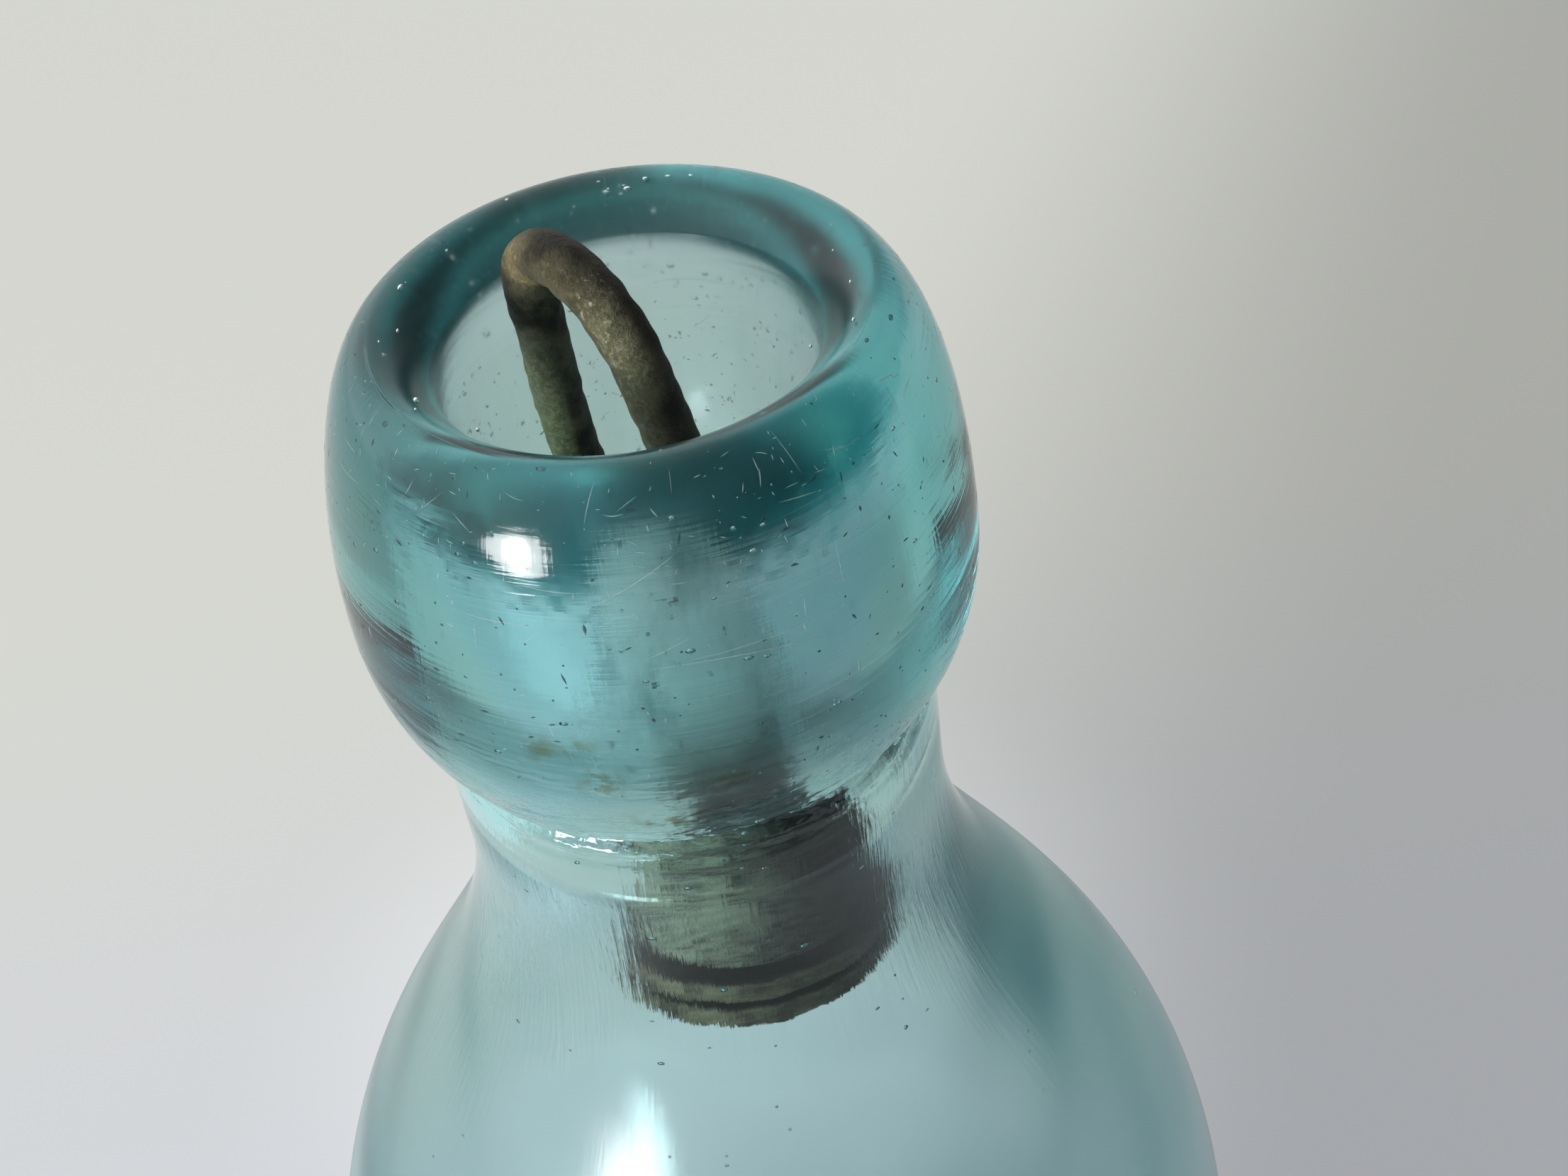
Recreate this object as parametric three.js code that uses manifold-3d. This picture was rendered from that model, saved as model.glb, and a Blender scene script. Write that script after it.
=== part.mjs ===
// A blown soda bottle with a thick blob lip and a captive spring stopper, drawn with the stopper pushed open.
import * as THREE from "three";
import { mergeVertices } from "three/addons/utils/BufferGeometryUtils.js";
import Module from "manifold-3d";

// Driving sizes in millimetres and degrees. A drop is measured down from the top of the lip.

// Bottle, outside
const BOTTLE_HEIGHT = 171;
const BODY_RADIUS = 30.5;
const HEEL_ROUND = 7;
const FOOT_WIDTH = 4;
const PUSH_UP_HEIGHT = 4;
const SHOULDER_HEIGHT = 51.5;
const NECK_LENGTH = 8.7;
const NECK_WALL = 5.95;
const LIP_HEIGHT = 21.8;
const LIP_UNDERSIDE = 7.7;
const LIP_OVERHANG = 2.6;
const CREASE_DEPTH = 0.6;

// Bottle, inside
const BODY_WALL = 3.6;
const BASE_THICKNESS = 6.5;
const INNER_HEEL_ROUND = 9;
const CHOKE_RADIUS = 7.2;
const CHOKE_LENGTH = 5.5;
const BORE_LENGTH = 21;
const BORE_FLARE = 1.85;
const MOUTH_ROUND_WIDTH = 2.45;
const MOUTH_ROUND_DEPTH = 2.2;
const SEAT_HEIGHT = 2.5;
const SEAT_FLARE = 1.5;

// Stopper
const STOPPER_STROKE = 10.8;
const STOPPER_OFFSET = 1.4;
const GASKET_THICKNESS = 4.7;
const GASKET_OVERLAP = 0.2;
const GASKET_FLARE = 0.2;
const GASKET_GROOVE = 0.5;
const SHEET_THICKNESS = 0.9;
const PLATE_PLAY = 0.8;
const BELL_HEIGHT = 8.6;
const BELL_RIM_HEIGHT = 1.1;
const DISH_DEPTH = 1.2;
const WIRE_DIAMETER = 2.5;
const LEG_GAP = 1.5;
const LOOP_RISE = 3.75;
const ARCH_RADIUS = 4.5;
const ARCH_FLARE_DEG = 8;
const LOOP_GRIP = 0.25;
const LOOP_TURN_DEG = -60;
const LOOP_LEAN = 0.13;
const LEAN_BEND = 4;
const HEAD_FLARE = 0.5;
const HEAD_THICKNESS = 1.2;

// Curve handles, each as a share of the width or height that its curve spans
const PUSH_UP_CROWN_PULL = 0.45;
const PUSH_UP_FOOT_PULL = 0.3;
const SHOULDER_LOW_PULL = 0.54;
const SHOULDER_HIGH_PULL = 0.36;
const NECK_STRAIGHT_SHARE = 0.7;
const CREASE_PULL = 0.1;
const LIP_UNDER_OUT_PULL = 0.6;
const LIP_UNDER_UP_PULL = 0.13;
const LIP_BELLY_PULL = 0.5;
const LIP_FLANK_PULL = 0.61;
const CREST_PULL = 0.45;
const MOUTH_CREST_PULL = 0.37;
const MOUTH_EDGE_OUT_PULL = 0.27;
const MOUTH_EDGE_UP_PULL = 0.45;
const INNER_SHOULDER_HIGH_PULL = 0.416;
const INNER_SHOULDER_LOW_PULL = 0.52;
const BELL_HIP_PULL = 0.6;
const BELL_CROWN_PULL = 0.2;

// Clearances
const SEAM_GAP = 0.3;
const HOLE_GAP = 0.3;
const HOLE_LAND = 0.75;
const BORE_GAP = 0.65;
const SEAT_GAP = 1;

// Facets
const BOTTLE_SIDES = 56;
const PLATE_SIDES = 40;
const WIRE_STEPS = 110;
const WIRE_SIDES = 10;

const wasm = await Module();
wasm.setup();

// Profile helpers: a run is a curve in (radius, height) with the number of steps that it is cut into.
const at = (radius, height) => new THREE.Vector2(radius, height);
const line = (a, b) => ({ curve: new THREE.LineCurve(a, b), steps: 1 });
const bend = (a, b, c, steps) => ({ curve: new THREE.QuadraticBezierCurve(a, b, c), steps });
const sweep = (a, b, c, d, steps) => ({ curve: new THREE.CubicBezierCurve(a, b, c, d), steps });

// Revolves runs that start and end on the axis into a closed solid standing along +Z.
function revolve(runs, sides) {
  const points = runs.flatMap(({ curve, steps }, i) => curve.getPoints(steps).slice(i === 0 ? 0 : 1));
  return new THREE.LatheGeometry(points, sides).rotateX(Math.PI / 2);
}

// Turns a closed geometry into a solid that can be joined and cut.
function solid(geometry) {
  const bare = geometry.clone();
  bare.deleteAttribute("normal");
  bare.deleteAttribute("uv");
  const merged = mergeVertices(bare);
  const vertProperties = new Float32Array(merged.attributes.position.array);
  const triVerts = new Uint32Array(merged.index.array);
  return new wasm.Manifold(new wasm.Mesh({ numProp: 3, vertProperties, triVerts }));
}

// Turns a solid back into a geometry with flat shading normals.
function geometryOf(body) {
  const { vertProperties, triVerts } = body.getMesh();
  const geometry = new THREE.BufferGeometry();
  geometry.setAttribute("position", new THREE.BufferAttribute(vertProperties, 3));
  geometry.setIndex(new THREE.BufferAttribute(triVerts, 1));
  const flat = geometry.toNonIndexed();
  flat.computeVertexNormals();
  return flat;
}

function piece(name, geometry, material) {
  const mesh = new THREE.Mesh(geometry, new THREE.MeshStandardMaterial(material));
  mesh.name = name;
  return mesh;
}

// Levels and radii that follow from the driving sizes.
const neckRadius = CHOKE_RADIUS + NECK_WALL;
const mouthRadius = CHOKE_RADIUS + BORE_FLARE;
const crestRadius = mouthRadius + MOUTH_ROUND_WIDTH;
const lipRadius = neckRadius + LIP_OVERHANG;
const creaseRadius = neckRadius - CREASE_DEPTH;
const bellyLevel = BOTTLE_HEIGHT - LIP_HEIGHT + LIP_UNDERSIDE;
const creaseLevel = BOTTLE_HEIGHT - LIP_HEIGHT;
const waistLevel = creaseLevel - NECK_LENGTH;
const shoulderLevel = waistLevel - SHOULDER_HEIGHT;
const footRadius = BODY_RADIUS - HEEL_ROUND;
const pushUpRadius = footRadius - FOOT_WIDTH;
const roundLevel = BOTTLE_HEIGHT - MOUTH_ROUND_DEPTH;
const chokeTopLevel = BOTTLE_HEIGHT - BORE_LENGTH;
const chokeEndLevel = chokeTopLevel - CHOKE_LENGTH;
const seatLevel = chokeEndLevel - SEAT_HEIGHT;
const seatRadius = CHOKE_RADIUS + SEAT_FLARE;
const innerRadius = BODY_RADIUS - BODY_WALL;

// Glass: one closed profile from the middle of the push-up, round the outside and back down the bore.
function bottleProfile() {
  const pushUpCrown = PUSH_UP_CROWN_PULL * pushUpRadius;
  const pushUpFoot = (1 - PUSH_UP_FOOT_PULL) * pushUpRadius;
  const neckTop = waistLevel + NECK_STRAIGHT_SHARE * NECK_LENGTH;
  const underLip = creaseRadius + LIP_UNDER_OUT_PULL * (lipRadius - creaseRadius);
  const lipRise = BOTTLE_HEIGHT - bellyLevel;
  const crestHandle = crestRadius + CREST_PULL * (lipRadius - crestRadius);
  const mouthHandle = mouthRadius + MOUTH_EDGE_OUT_PULL * MOUTH_ROUND_WIDTH;
  const innerFoot = innerRadius - INNER_HEEL_ROUND;
  const floorCrown = PUSH_UP_HEIGHT + BASE_THICKNESS;
  const innerHeelLevel = BASE_THICKNESS + INNER_HEEL_ROUND;
  const foot = [
    sweep(at(0, PUSH_UP_HEIGHT), at(pushUpCrown, PUSH_UP_HEIGHT), at(pushUpFoot, 0), at(pushUpRadius, 0), 6),
    line(at(pushUpRadius, 0), at(footRadius, 0)),
    bend(at(footRadius, 0), at(BODY_RADIUS, 0), at(BODY_RADIUS, HEEL_ROUND), 5),
  ];
  const outside = [
    line(at(BODY_RADIUS, HEEL_ROUND), at(BODY_RADIUS, shoulderLevel)),
    sweep(
      at(BODY_RADIUS, shoulderLevel),
      at(BODY_RADIUS, shoulderLevel + SHOULDER_LOW_PULL * SHOULDER_HEIGHT),
      at(neckRadius, waistLevel - SHOULDER_HIGH_PULL * SHOULDER_HEIGHT),
      at(neckRadius, waistLevel),
      12,
    ),
    line(at(neckRadius, waistLevel), at(neckRadius, neckTop)),
    bend(
      at(neckRadius, neckTop),
      at(neckRadius, creaseLevel - CREASE_PULL * NECK_LENGTH),
      at(creaseRadius, creaseLevel),
      3,
    ),
  ];
  const lip = [
    sweep(
      at(creaseRadius, creaseLevel),
      at(underLip, creaseLevel + LIP_UNDER_UP_PULL * LIP_UNDERSIDE),
      at(lipRadius, bellyLevel - LIP_BELLY_PULL * LIP_UNDERSIDE),
      at(lipRadius, bellyLevel),
      6,
    ),
    sweep(
      at(lipRadius, bellyLevel),
      at(lipRadius, bellyLevel + LIP_FLANK_PULL * lipRise),
      at(crestHandle, BOTTLE_HEIGHT),
      at(crestRadius, BOTTLE_HEIGHT),
      9,
    ),
    sweep(
      at(crestRadius, BOTTLE_HEIGHT),
      at(crestRadius - MOUTH_CREST_PULL * MOUTH_ROUND_WIDTH, BOTTLE_HEIGHT),
      at(mouthHandle, roundLevel + MOUTH_EDGE_UP_PULL * MOUTH_ROUND_DEPTH),
      at(mouthRadius, roundLevel),
      6,
    ),
  ];
  const inside = [
    line(at(mouthRadius, roundLevel), at(CHOKE_RADIUS, chokeTopLevel)),
    line(at(CHOKE_RADIUS, chokeTopLevel), at(CHOKE_RADIUS, chokeEndLevel)),
    line(at(CHOKE_RADIUS, chokeEndLevel), at(seatRadius, seatLevel)),
    sweep(
      at(seatRadius, seatLevel),
      at(seatRadius, seatLevel - INNER_SHOULDER_HIGH_PULL * SHOULDER_HEIGHT),
      at(innerRadius, shoulderLevel + INNER_SHOULDER_LOW_PULL * SHOULDER_HEIGHT),
      at(innerRadius, shoulderLevel),
      12,
    ),
    line(at(innerRadius, shoulderLevel), at(innerRadius, innerHeelLevel)),
    bend(at(innerRadius, innerHeelLevel), at(innerRadius, BASE_THICKNESS), at(innerFoot, BASE_THICKNESS), 4),
    sweep(at(innerFoot, BASE_THICKNESS), at(pushUpFoot, BASE_THICKNESS), at(pushUpCrown, floorCrown),
      at(0, floorCrown), 5),
  ];
  return [...foot, ...outside, ...lip, ...inside];
}

// Stopper levels: the gasket hangs one stroke below the place where it meets its seat.
const gasketTop = chokeEndLevel - SEAT_GAP - STOPPER_STROKE;
const gasketBottom = gasketTop - GASKET_THICKNESS;
const bellRim = gasketTop + SEAM_GAP;
const bellTop = bellRim + BELL_HEIGHT;
const dishRim = gasketBottom - SEAM_GAP;
const dishBottom = dishRim - SHEET_THICKNESS - DISH_DEPTH;
const headTop = dishBottom - SEAM_GAP;
const headBottom = headTop - HEAD_THICKNESS;
const legEnd = (headTop + headBottom) / 2;
const wireRadius = WIRE_DIAMETER / 2;
const legOffset = (WIRE_DIAMETER + LEG_GAP) / 2;
const holeRadius = wireRadius + HOLE_GAP;
const crownRadius = legOffset + holeRadius + HOLE_LAND;
const plateRadius = CHOKE_RADIUS - PLATE_PLAY;
const gasketTopRadius = CHOKE_RADIUS + GASKET_OVERLAP;
const gasketRadius = gasketTopRadius + GASKET_FLARE;
const loopTurn = THREE.MathUtils.degToRad(LOOP_TURN_DEG);

// Upper plate: sheet pressed into a bell, with a plain band at its rim and a flat crown for the wire.
function bellProfile() {
  const bandTop = bellRim + BELL_RIM_HEIGHT;
  const crownUnder = bellTop - SHEET_THICKNESS;
  const innerBand = plateRadius - SHEET_THICKNESS;
  const innerCrown = crownRadius - SHEET_THICKNESS;
  const hipLevel = (bandTop + bellTop) / 2;
  const taper = plateRadius - crownRadius;
  const hipRadius = plateRadius - BELL_HIP_PULL * taper;
  return [
    line(at(0, crownUnder), at(innerCrown, crownUnder)),
    sweep(
      at(innerCrown, crownUnder),
      at(crownRadius, crownUnder),
      at(hipRadius - SHEET_THICKNESS, hipLevel),
      at(innerBand, bandTop),
      6,
    ),
    line(at(innerBand, bandTop), at(innerBand, bellRim)),
    line(at(innerBand, bellRim), at(plateRadius, bellRim)),
    line(at(plateRadius, bellRim), at(plateRadius, bandTop)),
    sweep(
      at(plateRadius, bandTop),
      at(hipRadius, hipLevel),
      at(crownRadius + BELL_CROWN_PULL * taper, bellTop),
      at(crownRadius, bellTop),
      6,
    ),
    line(at(crownRadius, bellTop), at(0, bellTop)),
  ];
}

// Gasket: a thick rubber disc, wider below, with a rounded foot and a moulded groove half way up.
function gasketProfile() {
  const edge = (level) => gasketRadius - (GASKET_FLARE * (level - gasketBottom)) / GASKET_THICKNESS;
  const onEdge = (level) => at(edge(level), level);
  const footLevel = gasketBottom + GASKET_GROOVE;
  const grooveLevel = (gasketBottom + gasketTop) / 2;
  const grooveFloor = at(edge(grooveLevel) - GASKET_GROOVE, grooveLevel);
  const grooveLow = onEdge(grooveLevel - GASKET_GROOVE);
  const grooveHigh = onEdge(grooveLevel + GASKET_GROOVE);
  const footInner = at(gasketRadius - GASKET_GROOVE, gasketBottom);
  return [
    line(at(0, gasketBottom), footInner),
    bend(footInner, onEdge(gasketBottom), onEdge(footLevel), 3),
    line(onEdge(footLevel), grooveLow),
    line(grooveLow, grooveFloor),
    line(grooveFloor, grooveHigh),
    line(grooveHigh, onEdge(gasketTop)),
    line(onEdge(gasketTop), at(0, gasketTop)),
  ];
}

// Lower plate: a pressed dish, its flat rim against the rubber and its middle sunk for the wire's heads.
function dishProfile() {
  const sunkTop = dishBottom + SHEET_THICKNESS;
  const rimUnder = dishRim - SHEET_THICKNESS;
  const rimInner = (plateRadius + crownRadius) / 2;
  return [
    line(at(0, dishBottom), at(crownRadius, dishBottom)),
    sweep(
      at(crownRadius, dishBottom),
      at(rimInner, dishBottom),
      at(rimInner, rimUnder),
      at(plateRadius, rimUnder),
      5,
    ),
    line(at(plateRadius, rimUnder), at(plateRadius, dishRim)),
    line(at(plateRadius, dishRim), at(rimInner, dishRim)),
    line(at(rimInner, dishRim), at(crownRadius, sunkTop)),
    line(at(crownRadius, sunkTop), at(0, sunkTop)),
  ];
}

// A plate or gasket with the two holes that the wire's legs pass through.
function pierced(runs) {
  let body = solid(revolve(runs, PLATE_SIDES));
  for (const side of [-1, 1]) {
    const drill = new THREE.CylinderGeometry(holeRadius, holeRadius, BOTTLE_HEIGHT, 2 * WIRE_SIDES);
    drill.rotateX(Math.PI / 2);
    drill.translate(side * legOffset * Math.cos(loopTurn), side * legOffset * Math.sin(loopTurn), gasketTop);
    body = body.subtract(solid(drill));
  }
  return geometryOf(body);
}

// Wire outline in its own plane: up one leg, out to the widest place, over the arch and down the other leg.
function wireOutline() {
  const flare = THREE.MathUtils.degToRad(ARCH_FLARE_DEG);
  const loopHalf = CHOKE_RADIUS + LOOP_GRIP;
  const wide = loopHalf - wireRadius;
  const boreSlope = BORE_FLARE / (BORE_LENGTH - MOUTH_ROUND_DEPTH);
  const wideLevel = chokeTopLevel + (loopHalf + BORE_GAP - CHOKE_RADIUS) / boreSlope;
  const archCentre = BOTTLE_HEIGHT + LOOP_RISE - wireRadius - ARCH_RADIUS;
  const archFoot = at(ARCH_RADIUS * Math.cos(flare), archCentre + ARCH_RADIUS * Math.sin(flare));
  const flank = (archFoot.y - wideLevel) / 3;
  const taper = (wideLevel - bellTop) / 2;
  const flankX = archFoot.x + flank * Math.sin(flare);
  const flankY = archFoot.y - flank * Math.cos(flare);
  const path = new THREE.Path();
  path.moveTo(-legOffset, legEnd);
  path.lineTo(-legOffset, bellTop);
  path.bezierCurveTo(-legOffset, bellTop + taper, -wide, wideLevel - taper, -wide, wideLevel);
  path.bezierCurveTo(-wide, wideLevel + flank, -flankX, flankY, -archFoot.x, archFoot.y);
  path.absarc(0, archCentre, ARCH_RADIUS, Math.PI - flare, flare, true);
  path.bezierCurveTo(flankX, flankY, wide, wideLevel + flank, wide, wideLevel);
  path.bezierCurveTo(wide, wideLevel - taper, legOffset, bellTop + taper, legOffset, bellTop);
  path.lineTo(legOffset, legEnd);
  return path;
}

// The wire's centre line: its outline turned about the stopper's axis, leaning away above the upper plate.
class WireLine extends THREE.Curve {
  constructor(outline) {
    super();
    this.outline = outline;
  }

  getPoint(t, target = new THREE.Vector3()) {
    const { x: across, y: level } = this.outline.getPoint(t);
    const rise = Math.max(0, level - bellTop);
    const lean = -LOOP_LEAN * (Math.hypot(rise, LEAN_BEND) - LEAN_BEND);
    return target.set(across * Math.cos(loopTurn) + lean, across * Math.sin(loopTurn), level);
  }
}

// Spring wire: one round wire, with both ends hammered into heads under the lower plate.
function springWire() {
  const section = new THREE.Shape().absarc(0, 0, wireRadius, 0, 2 * Math.PI);
  const rod = new THREE.ExtrudeGeometry(section, {
    extrudePath: new WireLine(wireOutline()),
    steps: WIRE_STEPS,
    curveSegments: WIRE_SIDES / 2,
  });
  let body = solid(rod);
  const headRadius = wireRadius + HEAD_FLARE;
  const headProfile = [
    bend(at(0, headBottom), at(headRadius, headBottom), at(headRadius, headTop), 5),
    line(at(headRadius, headTop), at(0, headTop)),
  ];
  for (const side of [-1, 1]) {
    const head = revolve(headProfile, 2 * WIRE_SIDES);
    head.translate(side * legOffset * Math.cos(loopTurn), side * legOffset * Math.sin(loopTurn), 0);
    body = body.add(solid(head));
  }
  return geometryOf(body);
}

const glass = { color: 0x7fbfc0, roughness: 0.06, metalness: 0, transparent: true, opacity: 0.4 };
const tarnishedWire = { color: 0x4c4433, roughness: 0.6, metalness: 0.7 };
const tarnishedSheet = { color: 0x4a4a3a, roughness: 0.65, metalness: 0.6 };
const agedRubber = { color: 0x5a5242, roughness: 0.9, metalness: 0 };

const stopper = new THREE.Group();
stopper.position.x = STOPPER_OFFSET;
stopper.add(
  piece("spring_wire", springWire(), tarnishedWire),
  piece("upper_plate", pierced(bellProfile()), tarnishedSheet),
  piece("rubber_gasket", pierced(gasketProfile()), agedRubber),
  piece("lower_plate", pierced(dishProfile()), tarnishedSheet),
);

const bottle = new THREE.Group();
bottle.add(piece("glass_bottle", revolve(bottleProfile(), BOTTLE_SIDES), glass), stopper);

export default bottle;
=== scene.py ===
import math

import bpy
import numpy as np
from mathutils import Matrix, Vector


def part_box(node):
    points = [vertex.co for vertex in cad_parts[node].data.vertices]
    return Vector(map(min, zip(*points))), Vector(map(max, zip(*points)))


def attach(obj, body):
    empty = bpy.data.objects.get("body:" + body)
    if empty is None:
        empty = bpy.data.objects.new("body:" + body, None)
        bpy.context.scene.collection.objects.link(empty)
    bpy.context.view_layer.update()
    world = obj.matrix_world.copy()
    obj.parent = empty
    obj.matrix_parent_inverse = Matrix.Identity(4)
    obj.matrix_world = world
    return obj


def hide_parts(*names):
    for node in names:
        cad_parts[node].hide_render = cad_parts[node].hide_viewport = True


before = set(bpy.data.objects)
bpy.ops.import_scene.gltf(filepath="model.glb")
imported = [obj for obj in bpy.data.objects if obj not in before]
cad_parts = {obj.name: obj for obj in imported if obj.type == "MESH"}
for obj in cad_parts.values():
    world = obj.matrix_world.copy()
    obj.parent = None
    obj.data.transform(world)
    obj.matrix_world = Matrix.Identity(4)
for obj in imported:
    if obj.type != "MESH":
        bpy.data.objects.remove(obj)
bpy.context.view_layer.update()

scene = bpy.context.scene


# Camera and studio.
# The camera stands close over the mouth and looks down on the lip, rolled a little to the right.
# A window-sized soft lamp on the left, a dim room all round and a pale floor light the bottle.
LENS_MM = 47.21
SENSOR_MM = 36.0
CAMERA_ABOVE_LIP = 0.05206
CAMERA_BEFORE_AXIS = 0.07848
CAMERA_YAW = -4.15
CAMERA_PITCH = 47.94
CAMERA_ROLL = -7.48
CAMERA_NEAR = 0.005

WINDOW_AZIMUTH = -48.0
WINDOW_DISTANCE = 0.7
WINDOW_HEIGHT = 0.165
WINDOW_PANE = (0.10, 0.155)
WINDOW_PANE_POWER = 1.43
WINDOW_GLOW = (0.26, 0.24)
WINDOW_GLOW_POWER = 2.2
WINDOW_GLOW_BEHIND = 0.02

ROOM_LIGHT = (1.05, 1.06, 1.05)
ROOM_SHADE = (0.09, 0.10, 0.105)
ROOM_BACKDROP = (0.62, 0.63, 0.61)
ROOM_DIM_WAY = (1.0, -0.6, 0.0)
ROOM_DIM_RANGE = (-0.8, 0.5)

FLOOR_HALF = 3.0
FLOOR_CREAM = (0.76, 0.77, 0.72)
FLOOR_WHITE = (0.73, 0.75, 0.79)
FLOOR_CREAM_RANGE = (0.05, 0.20)
# Painted light on the floor: painted shade on the room's dim side and, in the glass only, far off and in
# front; painted pools of light near the bottle; all fading to plain farther out.
FLOOR_DIM_RANGE = (-0.12, 0.03)
FLOOR_DIM = 0.62
FLOOR_OWN_LIGHT = 0.7
FLOOR_FAR_SHADE_RANGE = (0.16, 0.45)
FLOOR_FAR_SHADE = 0.4
FLOOR_FRONT_SHADE_RANGE = (-0.17, -0.08)
FLOOR_FRONT_SHADE = 0.35
FLOOR_LIGHT_POOLS = [
    {"place": (0.0, 0.085, 0.0), "range": (0.02, 0.075), "light": 1.22},
    {"place": (-0.10, -0.035, 0.0), "range": (0.05, 0.12), "light": 1.35},
]
FLOOR_PLAIN_RANGE = (0.40, 0.70)

lip_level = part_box("glass_bottle")[1].z

lens = bpy.data.cameras.new("photo_camera")
lens.lens = LENS_MM
lens.sensor_width = SENSOR_MM
lens.clip_start = CAMERA_NEAR
camera = bpy.data.objects.new("photo_camera", lens)
camera_yaw = Matrix.Rotation(math.radians(CAMERA_YAW), 4, "Z")
camera_pitch = Matrix.Rotation(math.radians(CAMERA_PITCH), 4, "X")
camera_roll = Matrix.Rotation(math.radians(CAMERA_ROLL), 4, "Z")
camera_place = Matrix.Translation((0.0, -CAMERA_BEFORE_AXIS, lip_level + CAMERA_ABOVE_LIP))
camera.matrix_world = camera_place @ camera_yaw @ camera_pitch @ camera_roll
scene.collection.objects.link(camera)
scene.camera = camera
scene.view_settings.view_transform = "Standard"

# Light in thick glass turns back and forth many times before it comes out.
GLASS_BOUNCES = 64
scene.cycles.max_bounces = GLASS_BOUNCES
scene.cycles.transmission_bounces = GLASS_BOUNCES
scene.cycles.glossy_bounces = GLASS_BOUNCES


def put(tree, kind, inputs=None, **settings):
    """Adds a node, sets its own settings, then its inputs by name or number: an input that is given a
    socket is linked to it, any other gets the value."""
    node = tree.nodes.new(kind)
    for name, value in settings.items():
        setattr(node, name, value)
    for name, value in (inputs or {}).items():
        if isinstance(value, bpy.types.NodeSocket):
            tree.links.new(value, node.inputs[name])
        else:
            node.inputs[name].default_value = value
    return node


def opaque(rgb):
    """A colour with full alpha."""
    return (*rgb, 1.0)


def empty_tree(owner):
    """Switches a material or world to nodes and clears its tree."""
    owner.use_nodes = True
    owner.node_tree.nodes.clear()
    return owner.node_tree


def eased(tree, value, span, to=(0.0, 1.0)):
    """A value carried smoothly from one range to another; it stays at the ends outside the range."""
    limits = {"Value": value, "From Min": span[0], "From Max": span[1], "To Min": to[0], "To Max": to[1]}
    return put(tree, "ShaderNodeMapRange", limits, interpolation_type="SMOOTHSTEP").outputs["Result"]


def mixed(tree, share, first, second):
    """Two colours mixed by a share; each is a socket or a plain colour."""
    node = put(tree, "ShaderNodeMix", {"Factor": share}, data_type="RGBA")
    for name, value in (("A", first), ("B", second)):
        socket = next(s for s in node.inputs if s.name == name and s.type == "RGBA")
        if isinstance(value, bpy.types.NodeSocket):
            tree.links.new(value, socket)
        else:
            socket.default_value = opaque(value)
    return next(s for s in node.outputs if s.type == "RGBA")


def maths(tree, operation, first, second):
    """One arithmetic step on two values or sockets."""
    return put(tree, "ShaderNodeMath", {0: first, 1: second}, operation=operation).outputs[0]


def vectors(tree, operation, inputs, result="Vector"):
    """One step of vector arithmetic, on inputs given by number or name."""
    return put(tree, "ShaderNodeVectorMath", inputs, operation=operation).outputs[result]


def hang_lamp(name, size, power, distance):
    """A soft oval lamp out on the window's side, turned to the bottle's axis."""
    lamp = bpy.data.lights.new(name, "AREA")
    lamp.shape = "ELLIPSE"
    lamp.size, lamp.size_y = size
    lamp.energy = power
    item = bpy.data.objects.new(name, lamp)
    turn = math.radians(WINDOW_AZIMUTH)
    item.location = (distance * math.sin(turn), -distance * math.cos(turn), WINDOW_HEIGHT)
    inward = Vector((-item.location.x, -item.location.y, 0.0))
    item.rotation_euler = inward.to_track_quat("-Z", "Y").to_euler()
    scene.collection.objects.link(item)


hang_lamp("window_pane", WINDOW_PANE, WINDOW_PANE_POWER, WINDOW_DISTANCE)
hang_lamp("window_glow", WINDOW_GLOW, WINDOW_GLOW_POWER, WINDOW_DISTANCE + WINDOW_GLOW_BEHIND)

room = bpy.data.worlds.new("room")
scene.world = room
tree = empty_tree(room)
way = put(tree, "ShaderNodeTexCoord").outputs["Generated"]
away = vectors(tree, "DOT_PRODUCT", {0: way, 1: ROOM_DIM_WAY}, "Value")
dimness = eased(tree, away, ROOM_DIM_RANGE)
walls = mixed(tree, dimness, ROOM_LIGHT, ROOM_SHADE)
looked_at = put(tree, "ShaderNodeLightPath").outputs["Is Camera Ray"]
glow = put(tree, "ShaderNodeBackground", {"Color": mixed(tree, looked_at, walls, ROOM_BACKDROP)})
put(tree, "ShaderNodeOutputWorld", {"Surface": glow.outputs[0]})

floor_mesh = bpy.data.meshes.new("floor")
floor_corners = [(x * FLOOR_HALF, y * FLOOR_HALF, 0.0) for x, y in ((-1, -1), (1, -1), (1, 1), (-1, 1))]
floor_mesh.from_pydata(floor_corners, [], [(0, 1, 2, 3)])
floor = bpy.data.objects.new("floor", floor_mesh)
scene.collection.objects.link(floor)

# The floor's colour carries painted shade and painted pools of light over its plain tint.
floor_paper = bpy.data.materials.new("floor_paper")
tree = empty_tree(floor_paper)
where = put(tree, "ShaderNodeTexCoord").outputs["Object"]
depth = put(tree, "ShaderNodeSeparateXYZ", {0: where}).outputs["Y"]
tint = mixed(tree, eased(tree, depth, FLOOR_CREAM_RANGE), FLOOR_WHITE, FLOOR_CREAM)
away = vectors(tree, "DOT_PRODUCT", {0: where, 1: ROOM_DIM_WAY}, "Value")
painted_light_and_shade = eased(tree, away, FLOOR_DIM_RANGE, (1.0, FLOOR_DIM))
sunk = eased(tree, away, FLOOR_FAR_SHADE_RANGE, (1.0, FLOOR_FAR_SHADE))
front_shade = eased(tree, depth, FLOOR_FRONT_SHADE_RANGE, (FLOOR_FRONT_SHADE, 1.0))
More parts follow.
